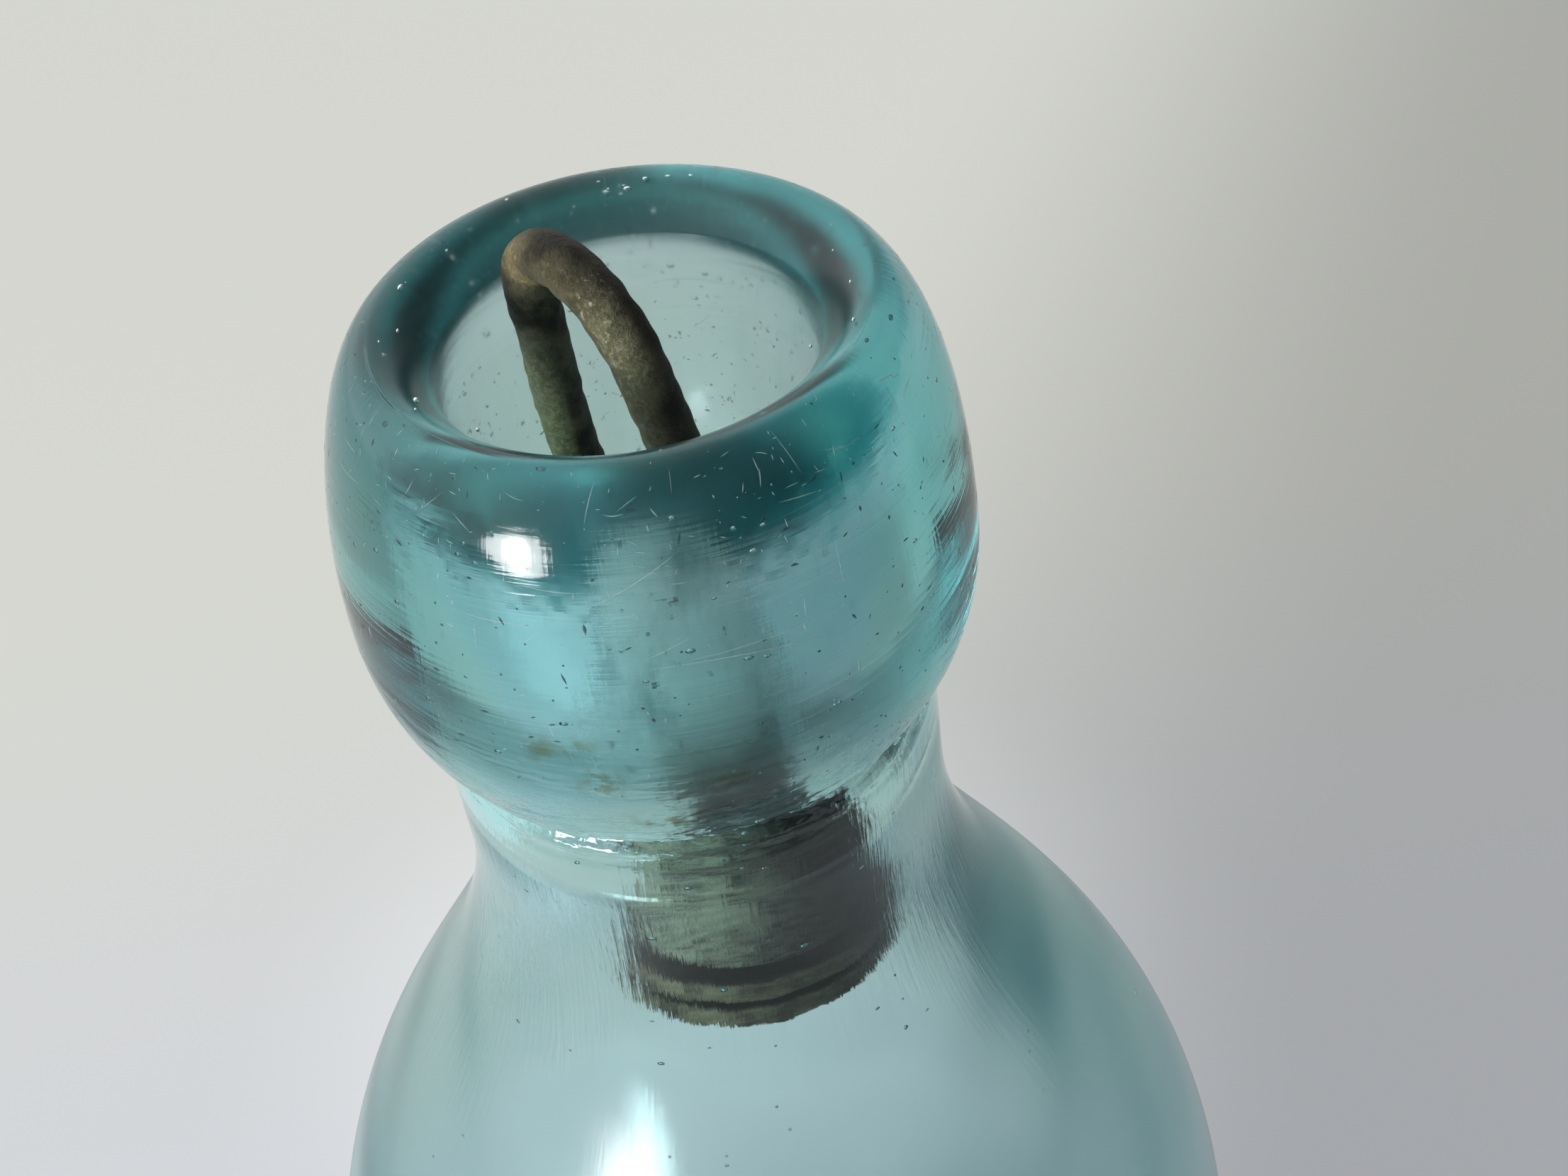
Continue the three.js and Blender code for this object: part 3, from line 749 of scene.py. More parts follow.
def scuffs(kind, seed):
    """Hair-thin lines on the lip: each starts at a random place, mostly high if the climb is over 1, and
    runs round the lip, or up it for the upright share. Its section is a low triangle that tapers to both
    ends."""
    dice = np.random.default_rng(seed)
    count = kind["count"]
    share = np.linspace(0.0, 1.0, LINE_STEPS)[None, :]
    angle = dice.uniform(-np.pi, np.pi, count)[:, None]
    length = dice.uniform(*kind["length"], count)[:, None] * dice.power(LINE_VARIETY, count)[:, None]
    start = (lip_rise[-1] - length) * dice.power(kind["climb"], count)[:, None]
    upright = dice.random(count) < kind["upright"]
    way = (dice.normal(0.0, LINE_WANDER, count) + np.where(upright, 0.5 * np.pi, 0.0))[:, None]
    bow = dice.normal(0.0, LINE_BOW, count)[:, None]
    rise = start + length * (share * np.sin(way) + bow * share * (1.0 - share))
    rise = np.clip(rise, 0.0, lip_rise[-1])
    turn = angle + length * share * np.cos(way) / LIP_RADIUS
    taper = np.sin(np.pi * np.clip(share, LINE_BLUNT, 1.0 - LINE_BLUNT))
    width = dice.uniform(*kind["width"], count)[:, None] * taper
    aside = width * np.sin(way) / LIP_RADIUS
    above = width * np.cos(way)
    rows = [
        on_lip(rise - above, turn + aside, LINE_SINK),
        on_lip(rise + above, turn - aside, LINE_SINK),
        on_lip(rise, turn, LINE_LIFT),
    ]
    points = np.stack(rows, axis=2).reshape(-1, 3) * MM
    number = np.arange(count * LINE_STEPS * 3).reshape(count, LINE_STEPS, 3)
    faces = []
    for line in number:
        faces += between_rings(line[:-1], line[1:])
        faces += [line[0][::-1].tolist(), line[-1].tolist()]
    return points, faces


for seed, kind in enumerate(SCUFF_KINDS, start=83):
    points, faces = scuffs(kind, seed)
    skin = scuff_skin(kind["name"], kind["colour"], kind["cover"])
    marks = smooth_piece(kind["name"], points, faces, skin)
    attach(marks, "bottle")


# Mineral film.
# A whitish crust that the drink left on the wall inside, thick on the bore's front and thin elsewhere, with
# dark dirt in it; it clings to the glass. Its thick white front patch is also painted light: it stands for
# the light that the lip focuses from the window onto the bore.
FILM_GAP = 0.05
FILM_THICKNESS = 0.03
FILM_CRUST_AND_CAUSTIC_WHITE = (0.95, 0.99, 0.97)
FILM_GREY = (0.42, 0.56, 0.56)
FILM_DIRT = (0.10, 0.11, 0.09)
FILM_LEVELS = (96.0, 125.0, 151.0, 154.0, 157.0, 165.0, 168.0)
FILM_COVER = (0.0, 0.0, 0.01, 0.40, 1.0, 0.9, 0.0)
FILM_SIDE = -94.0
FILM_SPREAD = 60.0
FILM_BACK = 0.13
FILM_STRETCH = (1.0, 1.0, 0.35)
FILM_PATCH_RANGE = (0.30, 0.70)
FILM_PATCHES = (0.7, 1.0)
FILM_MOTTLE_RANGE = (0.36, 0.54)
FILM_DIRT_RANGE = (0.62, 0.70)
FILM_DIRT_COVER = 2.0

bore_film = bpy.data.materials.new("bore_film")
tree = empty_tree(bore_film)
where = put(tree, "ShaderNodeTexCoord").outputs["Object"]
stretched = vectors(tree, "MULTIPLY", {0: where, 1: FILM_STRETCH})
cloud = noise(tree, stretched, 260.0, 6.0, 0.65)
thick = painted(tree, "film")
dirt = eased(tree, noise(tree, where, 1400.0, 4.0, 0.65), FILM_DIRT_RANGE)
crust = maths(tree, "MULTIPLY", eased(tree, cloud, FILM_PATCH_RANGE, FILM_PATCHES), thick)
dirt_cover = maths(tree, "MULTIPLY", dirt, maths(tree, "MULTIPLY", thick, FILM_DIRT_COVER))
mottled = mixed(tree, eased(tree, cloud, FILM_MOTTLE_RANGE), FILM_GREY, FILM_CRUST_AND_CAUSTIC_WHITE)
shaded(tree, {
    "Base Color": mixed(tree, dirt, mottled, FILM_DIRT),
    "Roughness": 0.9,
    "Alpha": maths(tree, "ADD", crust, dirt_cover),
})

on_wall = (inner_profile[:, 1] > FILM_LEVELS[0]) & (inner_profile[:, 1] < FILM_LEVELS[-1])
wall = inner_profile[on_wall]
film_profile = np.concatenate([wall - (FILM_GAP, 0.0), wall[::-1] - (FILM_GAP + FILM_THICKNESS, 0.0)])


def on_bore(radius, height, angle):
    """Follows the swells of the wall inside."""
    return radius + bore_swell(height, angle), height


rings = turned(film_profile, GLASS_SIDES, 0.0, on_bore)
number = np.arange(rings.shape[0] * GLASS_SIDES).reshape(-1, GLASS_SIDES)
faces = between_rings(np.roll(number, -1, axis=0), number)
film = smooth_piece("mineral_film", rings.reshape(-1, 3) * MM, faces, bore_film)
# Thick and white toward the front: crust, and painted light where the lip focuses the window onto the bore.
crust_and_caustic_side = fall_off(way_round(side_angle, FILM_SIDE), math.radians(FILM_SPREAD))
film_cover = np.interp(film_profile[:, 1], FILM_LEVELS, FILM_COVER)[:, None]
paint(film, "film", (film_cover * (FILM_BACK + (1.0 - FILM_BACK) * crust_and_caustic_side)).ravel())
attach(film, "bottle")


# Upper plate of the stopper.
# Brass sheet pressed into a tall bell and tarnished to a dull olive brown; the wire's legs pass through
# its crown, and it presses on the rubber below.
STOPPER_X = 1.4
STOPPER_SIDES = 96
LEG_OFFSET = 2.0
LOOP_TURN = math.radians(-60.0)
HOLE_RADIUS = 1.55
HOLE_ENDS = (110.0, 150.0)
HOLE_SIDES = 32
SHEET = 0.9
PLATE_RADIUS = 6.4
BELL_RIM = 133.0
BELL_BAND = 1.1
BELL_TOP = 141.6
CROWN_RADIUS = 4.3
BELL_HIP_PULL = 0.6
BELL_CROWN_PULL = 0.2
RIM_ROUND = 0.2
RIM_INNER_ROUND = 0.1
DENT_START = 3.0
BELL_DENT = 0.05
PLATE_GRAIN = 0.00006
PLATE_GRAIN_STRENGTH = 0.7
# Painted light on the tarnish: olive and khaki on the side toward the window, near black on the far side.
PLATE_DARK = (0.010, 0.010, 0.008)
PLATE_OLIVE = (0.34, 0.35, 0.25)
PLATE_KHAKI = (0.80, 0.79, 0.60)
LIT_SIDE = 205.0
LIT_SPREAD = 58.0
LIT_OLIVE_RANGE = (-0.1, 0.6)
LIT_KHAKI_COVER = 0.75
PATINA_COVERS = {
    "Blotch": {"scale": 420.0, "detail": 4.0, "rough": 0.6, "range": (0.38, 0.62)},
    "Grain": {"scale": 3200.0, "detail": 5.0, "rough": 0.7, "range": (0.36, 0.64)},
    "Speck": {"scale": 2100.0, "detail": 2.0, "rough": 0.5, "range": (0.62, 0.72)},
}


def bell_profile():
    """Section of the bell as (radius, height): under the crown, down inside to the rim, and up outside."""
    band = BELL_RIM + BELL_BAND
    hip = 0.5 * (band + BELL_TOP)
    taper = PLATE_RADIUS - CROWN_RADIUS
    hip_radius = PLATE_RADIUS - BELL_HIP_PULL * taper
    shoulder = CROWN_RADIUS + BELL_CROWN_PULL * taper
    under = BELL_TOP - SHEET
    inner = PLATE_RADIUS - SHEET
    crown_in = CROWN_RADIUS - SHEET
    inner_edge = (inner, BELL_RIM + RIM_INNER_ROUND)
    rim_in = (inner + RIM_INNER_ROUND, BELL_RIM)
    rim_out = (PLATE_RADIUS - RIM_ROUND, BELL_RIM)
    outer_edge = (PLATE_RADIUS, BELL_RIM + RIM_ROUND)
    crown_edge = (CROWN_RADIUS, BELL_TOP)
    runs = [
        curve([(0, under), (crown_in, under)], 6),
        curve([(crown_in, under), (CROWN_RADIUS, under), (hip_radius - SHEET, hip), (inner, band)], 16),
        curve([(inner, band), inner_edge], 3),
        curve([inner_edge, (inner, BELL_RIM), rim_in], 3),
        curve([rim_in, rim_out], 2),
        curve([rim_out, (PLATE_RADIUS, BELL_RIM), outer_edge], 4),
        curve([outer_edge, (PLATE_RADIUS, band)], 4),
        curve([(PLATE_RADIUS, band), (hip_radius, hip), (shoulder, BELL_TOP), crown_edge], 24),
        curve([crown_edge, (0, BELL_TOP)], 8),
        np.array([(0.0, BELL_TOP)]),
    ]
    return np.concatenate(runs)


def off_axis(radius):
    """0 on the axis and 1 from a little way out, so that what is worn at the edge stays whole inside."""
    return np.clip(radius / DENT_START, 0.0, 1.0)


def dented(seed, depth, turns, pitch):
    """A shape function that swells and dents a spun piece by up to about the given depth (mm)."""
    def shape(radius, height, angle):
        return radius + depth * waves(seed, angle, height, turns, pitch) * off_axis(radius), height
    return shape


def paint_lit_side(item):
    """Paints the stopper's lit side, as painted light: 1 on the side toward the window, falling off round
    the stopper.
    """
    place = np.empty(3 * len(item.data.vertices), np.float32)
    item.data.vertices.foreach_get("co", place)
    place = place.reshape(-1, 3) / MM
    angle = np.arctan2(place[:, 1], place[:, 0] - STOPPER_X)
    paint(item, "lit_side", fall_off(way_round(angle, LIT_SIDE), math.radians(LIT_SPREAD)))


def to_leg(points, side):
    """Moves points, in metres, from the bottle's axis to the axis of one of the wire's legs."""
    points[:, 0] += (STOPPER_X + side * LEG_OFFSET * math.cos(LOOP_TURN)) * MM
    points[:, 1] += side * LEG_OFFSET * math.sin(LOOP_TURN) * MM


def pierce(item):
    """Cuts the two holes for the wire's legs through a piece, and leaves the plain cut mesh."""
    low, high = HOLE_ENDS
    bar = np.array([(0.0, low), (HOLE_RADIUS, low), (HOLE_RADIUS, high), (0.0, high)])
    for side in (-1.0, 1.0):
        bar_points, bar_faces = spun(bar, HOLE_SIDES)
        to_leg(bar_points, side)
        cutter = smooth_piece("leg_hole", bar_points, bar_faces, item.data.materials[0])
        cut = item.modifiers.new("leg_hole", "BOOLEAN")
        cut.operation = "DIFFERENCE"
        cut.solver = "EXACT"
        cut.object = cutter
        seen_by = bpy.context.evaluated_depsgraph_get()
        cut_mesh = bpy.data.meshes.new_from_object(item.evaluated_get(seen_by))
        item.modifiers.clear()
        item.data = cut_mesh
        bpy.data.objects.remove(cutter)


def patina_masks():
    """A node group with the uneven covers that all the stopper's metal and rubber share: broad blotches,
    fine grain and scattered specks, each from 0 to 1, laid through the piece by its own coordinates."""
    group = bpy.data.node_groups.new("patina_masks", "ShaderNodeTree")
    place = put(group, "ShaderNodeTexCoord").outputs["Object"]
    covers = {}
    for name, cover in PATINA_COVERS.items():
        group.interface.new_socket(name, in_out="OUTPUT", socket_type="NodeSocketFloat")
        pattern = noise(group, place, cover["scale"], cover["detail"], cover["rough"])
        covers[name] = eased(group, pattern, cover["range"])
    put(group, "NodeGroupOutput", covers)
    return group


patina = patina_masks()

tarnished_plate = bpy.data.materials.new("tarnished_plate")
tree = empty_tree(tarnished_plate)
mask = put(tree, "ShaderNodeGroup", node_tree=patina).outputs
# Painted light: olive blotches and khaki grain on the lit side, near black elsewhere.
lit_side = painted(tree, "lit_side")
lit_olive_share = maths(tree, "MULTIPLY", mask["Blotch"], eased(tree, lit_side, LIT_OLIVE_RANGE))
cover = mixed(tree, lit_olive_share, PLATE_DARK, PLATE_OLIVE)
lit_grain = maths(tree, "MULTIPLY", mask["Grain"], lit_side)
cover = mixed(tree, maths(tree, "MULTIPLY", lit_grain, LIT_KHAKI_COVER), cover, PLATE_KHAKI)
shaded(tree, {
    "Base Color": cover,
    "Metallic": 0.15,
    "Roughness": 0.7,
    "Specular IOR Level": 0.15,
    "Normal": raised(tree, mask["Grain"], PLATE_GRAIN, strength=PLATE_GRAIN_STRENGTH),
})

bell_dents = dented(21, BELL_DENT, turns=6, pitch=5.0)
points, faces = spun(bell_profile(), STOPPER_SIDES, STOPPER_X, bell_dents)
bell = smooth_piece("stopper_bell", points, faces, tarnished_plate)
pierce(bell)
paint_lit_side(bell)
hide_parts("upper_plate")
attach(bell, "stopper")


# Rubber gasket.
# A thick disc of old rubber, dry and crumbled at its edge, clamped between the two plates; a moulded groove
# runs round it half way up.
GASKET_TOP = 132.7
GASKET_BOTTOM = 128.0
GASKET_TOP_RADIUS = 7.4
GASKET_RADIUS = 7.6
GASKET_GROOVE = 0.5
GASKET_ROUND = 0.3
GASKET_SIDES = 240
CRUMBLE = 0.09
FOOT_CRUMBLE = 0.35
CRUMBLE_REACH = 0.6
CRUMBLE_START = 6.0
RUBBER_GRAIN = 0.0001
RUBBER_GRAIN_STRENGTH = 0.8
# Painted light and shade on the rubber: tan on the side toward the window, a dark band in the groove, and
# RUBBER_SHADE under the bell's rim.
RUBBER_DARK = (0.020, 0.014, 0.011)
RUBBER_SHADE = (0.055, 0.038, 0.030)
RUBBER_BROWN = (0.13, 0.11, 0.075)
RUBBER_TAN = (0.55, 0.47, 0.30)
LIT_TAN_RANGE = (-0.2, 0.7)
GRIME_COVER = 0.5
GROOVE_SHADE = (0.2, 0.5)
BELL_SHADE = (-0.45, -0.1)


def gasket_profile():
    """Section of the gasket as (radius, height): along the underside, round the foot, up the edge with its
    groove, and back over the top."""
    middle = 0.5 * (GASKET_TOP + GASKET_BOTTOM)
    lean = (GASKET_RADIUS - GASKET_TOP_RADIUS) / (GASKET_TOP - GASKET_BOTTOM)

    def edge(height):
        return (GASKET_RADIUS - lean * (height - GASKET_BOTTOM), height)

    foot = GASKET_BOTTOM + GASKET_GROOVE
    groove_floor = (edge(middle)[0] - GASKET_GROOVE, middle)
    brow = GASKET_TOP - GASKET_ROUND
    top_edge = (GASKET_TOP_RADIUS - GASKET_ROUND, GASKET_TOP)
    foot_edge = (GASKET_RADIUS - GASKET_GROOVE, GASKET_BOTTOM)
    runs = [
        curve([(0, GASKET_BOTTOM), foot_edge], 10),
        curve([foot_edge, edge(GASKET_BOTTOM), edge(foot)], 6),
        curve([edge(foot), edge(middle - GASKET_GROOVE)], 6),
        curve([edge(middle - GASKET_GROOVE), edge(middle - GASKET_ROUND), groove_floor], 5),
        curve([groove_floor, edge(middle + GASKET_ROUND), edge(middle + GASKET_GROOVE)], 5),
        curve([edge(middle + GASKET_GROOVE), edge(brow)], 6),
        curve([edge(brow), edge(GASKET_TOP), top_edge], 5),
        curve([top_edge, (0, GASKET_TOP)], 10),
        np.array([(0.0, GASKET_TOP)]),
    ]
    return np.concatenate(runs)


aged_rubber = bpy.data.materials.new("aged_rubber")
tree = empty_tree(aged_rubber)
mask = put(tree, "ShaderNodeGroup", node_tree=patina).outputs
where = put(tree, "ShaderNodeTexCoord").outputs["Object"]
level = put(tree, "ShaderNodeSeparateXYZ", {0: where}).outputs["Z"]
# Painted shade: a dark band round the groove half way up.
ring_middle = 0.5 * (GASKET_TOP + GASKET_BOTTOM) * MM
off_middle = maths(tree, "ABSOLUTE", maths(tree, "SUBTRACT", level, ring_middle), 0.0)
out_of_groove_shade = eased(tree, off_middle, [reach * MM for reach in GROOVE_SHADE])
# Painted light: tan on the side toward the window, brown elsewhere.
lit_tan_share = maths(tree, "MULTIPLY", mask["Blotch"], eased(tree, painted(tree, "lit_side"), LIT_TAN_RANGE))
cover = mixed(tree, lit_tan_share, RUBBER_BROWN, RUBBER_TAN)
cover = mixed(tree, out_of_groove_shade, RUBBER_DARK, cover)
cover = mixed(tree, maths(tree, "MULTIPLY", mask["Grain"], GRIME_COVER), cover, RUBBER_DARK)
under_bell = eased(tree, level, [(GASKET_TOP + shift) * MM for shift in BELL_SHADE])
shaded(tree, {
    "Base Color": mixed(tree, under_bell, cover, RUBBER_SHADE),
    "Roughness": 0.85,
    "Specular IOR Level": 0.15,
    "Normal": raised(tree, mask["Grain"], RUBBER_GRAIN, strength=RUBBER_GRAIN_STRENGTH),
})


def crumbled(radius, height, angle):
    """The rubber's edge: rough all round, and broken away upwards along its foot."""
    radius = radius + CRUMBLE * waves(33, angle, height, turns=24, pitch=1.2) * off_axis(radius)
    near_foot = fall_off(height - GASKET_BOTTOM, CRUMBLE_REACH) * np.clip(radius - CRUMBLE_START, 0.0, 1.0)
    bites = np.abs(waves(35, angle, 0.0 * height, turns=44, pitch=50.0))
    return radius, height + FOOT_CRUMBLE * bites * near_foot


points, faces = spun(gasket_profile(), GASKET_SIDES, STOPPER_X, crumbled)
gasket = smooth_piece("stopper_gasket", points, faces, aged_rubber)
pierce(gasket)
paint_lit_side(gasket)
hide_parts("rubber_gasket")
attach(gasket, "stopper")


# Lower plate of the stopper.
# A dish pressed from the same brass sheet, flat against the rubber at its rim and sunk in the middle,
# where the wire's hammered ends hold it.
DISH_RIM = 127.7
DISH_DEPTH = 1.2
DISH_DENT = 0.04


def dish_profile():
    """Section of the dish as (radius, height): along the sunk underside, out under the rim, back over."""
    bottom = DISH_RIM - SHEET - DISH_DEPTH
    sunk = bottom + SHEET
    under = DISH_RIM - SHEET
    turn = 0.5 * (PLATE_RADIUS + CROWN_RADIUS)
    rounded = PLATE_RADIUS - RIM_ROUND
    low_edge = (PLATE_RADIUS, under + RIM_ROUND)
    high_edge = (PLATE_RADIUS, DISH_RIM - RIM_ROUND)
    runs = [
        curve([(0, bottom), (CROWN_RADIUS, bottom)], 8),
        curve([(CROWN_RADIUS, bottom), (turn, bottom), (turn, under), (rounded, under)], 12),
        curve([(rounded, under), (PLATE_RADIUS, under), low_edge], 4),
        curve([low_edge, high_edge], 2),
        curve([high_edge, (PLATE_RADIUS, DISH_RIM), (rounded, DISH_RIM)], 4),
        curve([(rounded, DISH_RIM), (turn, DISH_RIM)], 4),
        curve([(turn, DISH_RIM), (CROWN_RADIUS, sunk)], 6),
        curve([(CROWN_RADIUS, sunk), (0, sunk)], 8),
        np.array([(0.0, sunk)]),
    ]
    return np.concatenate(runs)


dish_dents = dented(41, DISH_DENT, turns=6, pitch=5.0)
points, faces = spun(dish_profile(), STOPPER_SIDES, STOPPER_X, dish_dents)
dish = smooth_piece("stopper_dish", points, faces, tarnished_plate)
pierce(dish)
paint_lit_side(dish)
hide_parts("lower_plate")
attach(dish, "stopper")


# Spring wire.
# One round brass wire, bent into a loop whose sides press on the neck; dark brown tarnish over most of it,
# rubbed to tan at the top and green low down, and both ends hammered into heads under the lower plate.
# The tarnish's colour also carries painted light: olive, tan and green on the side toward the window, khaki
# where the wire faces the window's reflection, near black where it faces up and to the right.
WIRE_RADIUS = 1.25
WIRE_WIDE = 6.2
WIRE_WIDE_LEVEL = 159.15
ARCH_LEVEL = 169.0
ARCH_RADIUS = 4.5
ARCH_FLARE = math.radians(8.0)
LOOP_LEAN = 0.13
LEAN_BEND = 4.0
HEAD_TOP = 125.3
HEAD_THICKNESS = 1.2
HEAD_RADIUS = 1.75
HEAD_ROUND = 0.1
HEAD_DENT = 0.05
WIRE_SIDES = 40
WIRE_PIT = 0.05
WIRE_GRAIN = 0.0001
WIRE_GRAIN_STRENGTH = 0.9
WIRE_DARK = (0.020, 0.017, 0.011)
WIRE_OLIVE = (0.125, 0.115, 0.066)
WIRE_TAN = (0.36, 0.285, 0.14)
WIRE_KHAKI = (0.42, 0.415, 0.245)
WIRE_GREEN = (0.50, 0.53, 0.25)
WIRE_CRUST_GLINT = (0.55, 0.52, 0.44)
PATCH_GRAIN = (0.4, 1.0)

# Where the wear and the painted light lie: round the wire by the way that its skin faces, painted lighter on
# the side toward the window (left), with a painted sheen where it faces the window's reflection (face), and
# painted shade where it faces up and to the right; and along it by patches, each with its side, its share,
# and its middle and reach as angles of the arch seen from its centre.
LIT_WAY = (-0.9, 0.0, -0.3)
LIT_START = 0.35
SHEEN_WAY = (-0.45, -0.70, 0.55)
SHADE_WAY = (0.60, 0.20, 0.75)
SHADE_MOST = 0.7
WEAR_AND_LIGHT_PATCHES = {
    "rubbed_and_lit": [("left", 1.0, 124.0, 15.0), ("left", 0.2, 60.0, 25.0)],
    "khaki": [
        ("face", 0.9, 19.0, 14.0),
        ("face", 0.6, 45.0, 15.0),
        ("left", 0.35, 0.0, 40.0),
        ("left", 0.85, -142.0, 24.0),
    ],
    "green": [("left", 1.0, -131.0, 14.0), ("left", 0.3, -45.0, 15.0)],
    "crust_and_glints": [("face", 1.0, 57.0, 10.0), ("face", 0.5, 130.0, 16.0), ("face", 0.3, 30.0, 12.0)],
}


def wire_path():
    """Centre line of the loop in mm: up one leg, out to the widest place, over the arch and down the other
    leg; then turned about the stopper's axis, and leaning away above the bell by lean times how far the
    height lies past a rounded bend."""
    foot_x = ARCH_RADIUS * math.cos(ARCH_FLARE)
    foot_z = ARCH_LEVEL + ARCH_RADIUS * math.sin(ARCH_FLARE)
    flank = (foot_z - WIRE_WIDE_LEVEL) / 3.0
    taper = (WIRE_WIDE_LEVEL - BELL_TOP) / 2.0
    flank_x = foot_x + flank * math.sin(ARCH_FLARE)
    flank_z = foot_z - flank * math.cos(ARCH_FLARE)
    leg_end = HEAD_TOP - 0.5 * HEAD_THICKNESS
    widest = (WIRE_WIDE, WIRE_WIDE_LEVEL)
    below_widest = (WIRE_WIDE, WIRE_WIDE_LEVEL - taper)
    half = np.concatenate([
        curve([(LEG_OFFSET, leg_end), (LEG_OFFSET, BELL_TOP)], 40),
        curve([(LEG_OFFSET, BELL_TOP), (LEG_OFFSET, BELL_TOP + taper), below_widest, widest], 70),
        curve([widest, (WIRE_WIDE, WIRE_WIDE_LEVEL + flank), (flank_x, flank_z), (foot_x, foot_z)], 50),
    ])
    sweep = np.linspace(ARCH_FLARE, math.pi - ARCH_FLARE, 81)
    arch = np.stack([ARCH_RADIUS * np.cos(sweep), ARCH_LEVEL + ARCH_RADIUS * np.sin(sweep)], axis=-1)
    back = half[::-1] * np.array([-1.0, 1.0])
    flat = np.concatenate([half, arch, back])
    rise = np.maximum(0.0, flat[:, 1] - BELL_TOP)
    lean = -LOOP_LEAN * (np.hypot(rise, LEAN_BEND) - LEAN_BEND)
    across = flat[:, 0]
    return np.stack([
        STOPPER_X + across * math.cos(LOOP_TURN) + lean,
        across * math.sin(LOOP_TURN),
        flat[:, 1],
    ], axis=-1)


def rod(path, radius, sides):
    """A round rod along a path: at every path point a ring of the given radius (one per path point and
    side) square to the path, closed by a pole at each end. The rings' first axis is square to the loop's
    plane."""
    along = np.gradient(path, axis=0)
    along /= np.linalg.norm(along, axis=1, keepdims=True)
    plane_normal = np.array([math.sin(LOOP_TURN), -math.cos(LOOP_TURN), 0.0])
    second = np.cross(along, plane_normal)
    second /= np.linalg.norm(second, axis=1, keepdims=True)
    first = np.cross(second, along)
    angle = np.linspace(0.0, 2.0 * np.pi, sides, endpoint=False)[None, :, None]
    outward = np.cos(angle) * first[:, None] + np.sin(angle) * second[:, None]
    rings = path[:, None] + radius[..., None] * outward
    points = np.concatenate([path[[0, -1]], rings.reshape(-1, 3)]) * MM
    number = 2 + np.arange(len(path) * sides).reshape(len(path), sides)
    beside = np.roll(number, -1, axis=1)
    quads = np.stack([number[:-1], number[1:], beside[1:], beside[:-1]], axis=-1).reshape(-1, 4)
    start = np.stack([np.zeros(sides, int), number[0], beside[0]], axis=-1)
    end = np.stack([number[-1], np.ones(sides, int), beside[-1]], axis=-1)
    return points, quads.tolist() + start.tolist() + end.tolist()


tarnished_wire = bpy.data.materials.new("tarnished_wire")
tree = empty_tree(tarnished_wire)
mask = put(tree, "ShaderNodeGroup", node_tree=patina).outputs
# Painted shade: the olive blotches fade to near black where the wire faces up and to the right; the thin
# attribute is the unshaded share.
unshaded_olive = maths(tree, "MULTIPLY", mask["Blotch"], painted(tree, "thin"))
cover = mixed(tree, unshaded_olive, WIRE_DARK, WIRE_OLIVE)
grainy = eased(tree, mask["Grain"], (0.0, 1.0), PATCH_GRAIN)
for name, colour in (("green", WIRE_GREEN), ("khaki", WIRE_KHAKI), ("rubbed_and_lit", WIRE_TAN)):
    cover = mixed(tree, maths(tree, "MULTIPLY", painted(tree, name), grainy), cover, colour)
# Pale crust specks where the wire faces the window's reflection: crust and painted glints.
crust_and_glints = maths(tree, "MULTIPLY", painted(tree, "crust_and_glints"), mask["Speck"])
shaded(tree, {
    "Base Color": mixed(tree, crust_and_glints, cover, WIRE_CRUST_GLINT),
    "Metallic": 0.2,
    "Roughness": 0.55,
    "Specular IOR Level": 0.3,
    "Normal": raised(tree, mask["Grain"], WIRE_GRAIN, strength=WIRE_GRAIN_STRENGTH),
})

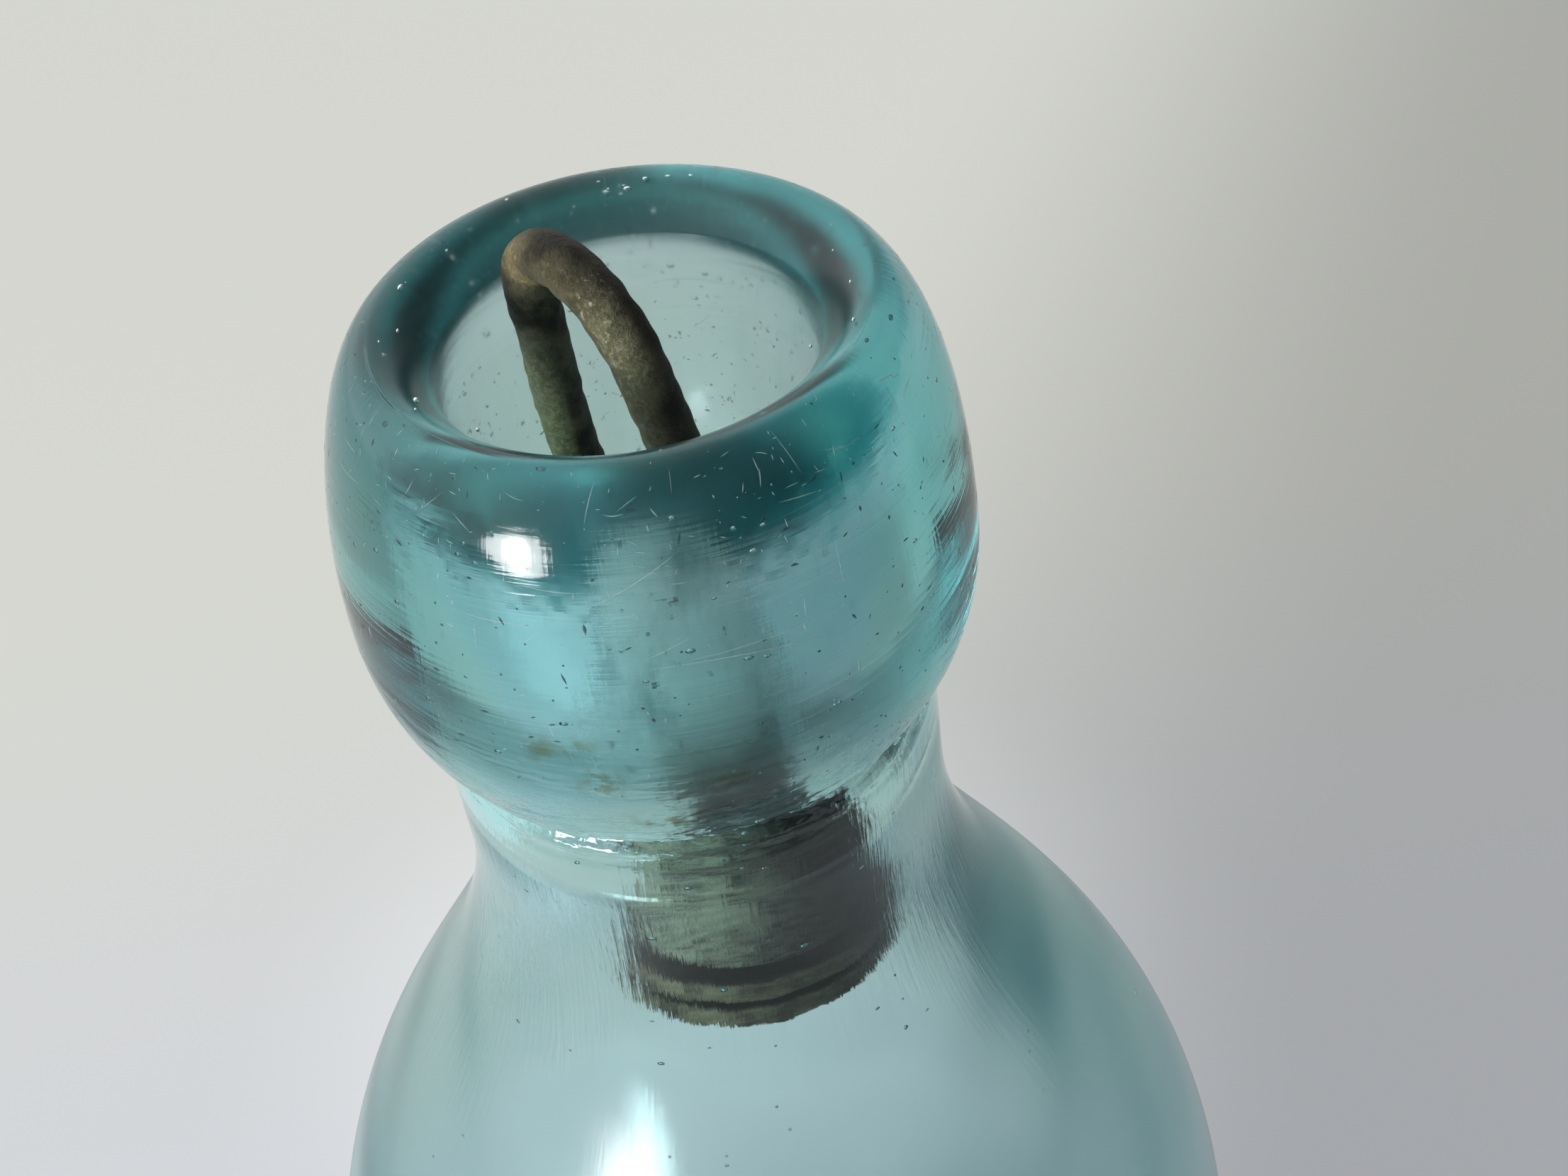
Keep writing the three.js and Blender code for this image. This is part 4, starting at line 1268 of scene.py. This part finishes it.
path = wire_path()
step = np.linalg.norm(np.diff(path, axis=0), axis=1)
run = np.concatenate([[0.0], np.cumsum(step)])[:, None]
turn = np.linspace(0.0, 2.0 * np.pi, WIRE_SIDES, endpoint=False)[None, :]
gauge = WIRE_RADIUS + WIRE_PIT * waves(55, turn, run, turns=5, pitch=1.2)
points, faces = rod(path, gauge, WIRE_SIDES)
loop = smooth_piece("stopper_wire", points, faces, tarnished_wire)
outward = points[2:].reshape(len(path), WIRE_SIDES, 3) / MM - path[:, None]
outward /= np.linalg.norm(outward, axis=-1, keepdims=True)
facing = {
    "left": np.clip(LIT_START + outward @ np.array(LIT_WAY), 0.0, 1.0),
    "face": np.clip(outward @ np.array(SHEEN_WAY), 0.0, 1.0) ** 2,
}
on_arch = np.arctan2(path[:, 2] - ARCH_LEVEL, -path[:, 1] / math.sin(-LOOP_TURN))
on_arch = np.degrees(on_arch)[:, None]
# thin is painted shade, low where the wire faces up and to the right; the patches are wear and painted light
# by facing.
wear = {"thin": 1.0 - np.clip(outward @ np.array(SHADE_WAY), 0.0, SHADE_MOST)}
for name, patches in WEAR_AND_LIGHT_PATCHES.items():
    wear[name] = sum(share * facing[side] * fall_off(on_arch - middle, reach)
                     for side, share, middle, reach in patches)
for name, values in wear.items():
    values = np.clip(values, 0.0, 1.0)
    paint(loop, name, np.concatenate([values[[0, -1], 0], values.ravel()]))


def wire_head(side):
    """One hammered end of the wire: a flat-topped button below the lower plate, on its leg's axis."""
    bottom = HEAD_TOP - HEAD_THICKNESS
    edge = (HEAD_RADIUS, HEAD_TOP - HEAD_ROUND)
    face = (HEAD_RADIUS - HEAD_ROUND, HEAD_TOP)
    runs = [
        curve([(0, bottom), (HEAD_RADIUS, bottom), edge], 10),
        curve([edge, (HEAD_RADIUS, HEAD_TOP), face], 4),
        curve([face, (0, HEAD_TOP)], 4),
        np.array([(0.0, HEAD_TOP)]),
    ]
    hammered = dented(61 + int(side), HEAD_DENT, turns=6, pitch=2.0)
    head_points, head_faces = spun(np.concatenate(runs), WIRE_SIDES, shape=hammered)
    to_leg(head_points, side)
    return smooth_piece("wire_head", head_points, head_faces, tarnished_wire)


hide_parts("spring_wire")
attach(loop, "stopper")
for side in (-1.0, 1.0):
    head = wire_head(side)
    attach(head, "stopper")
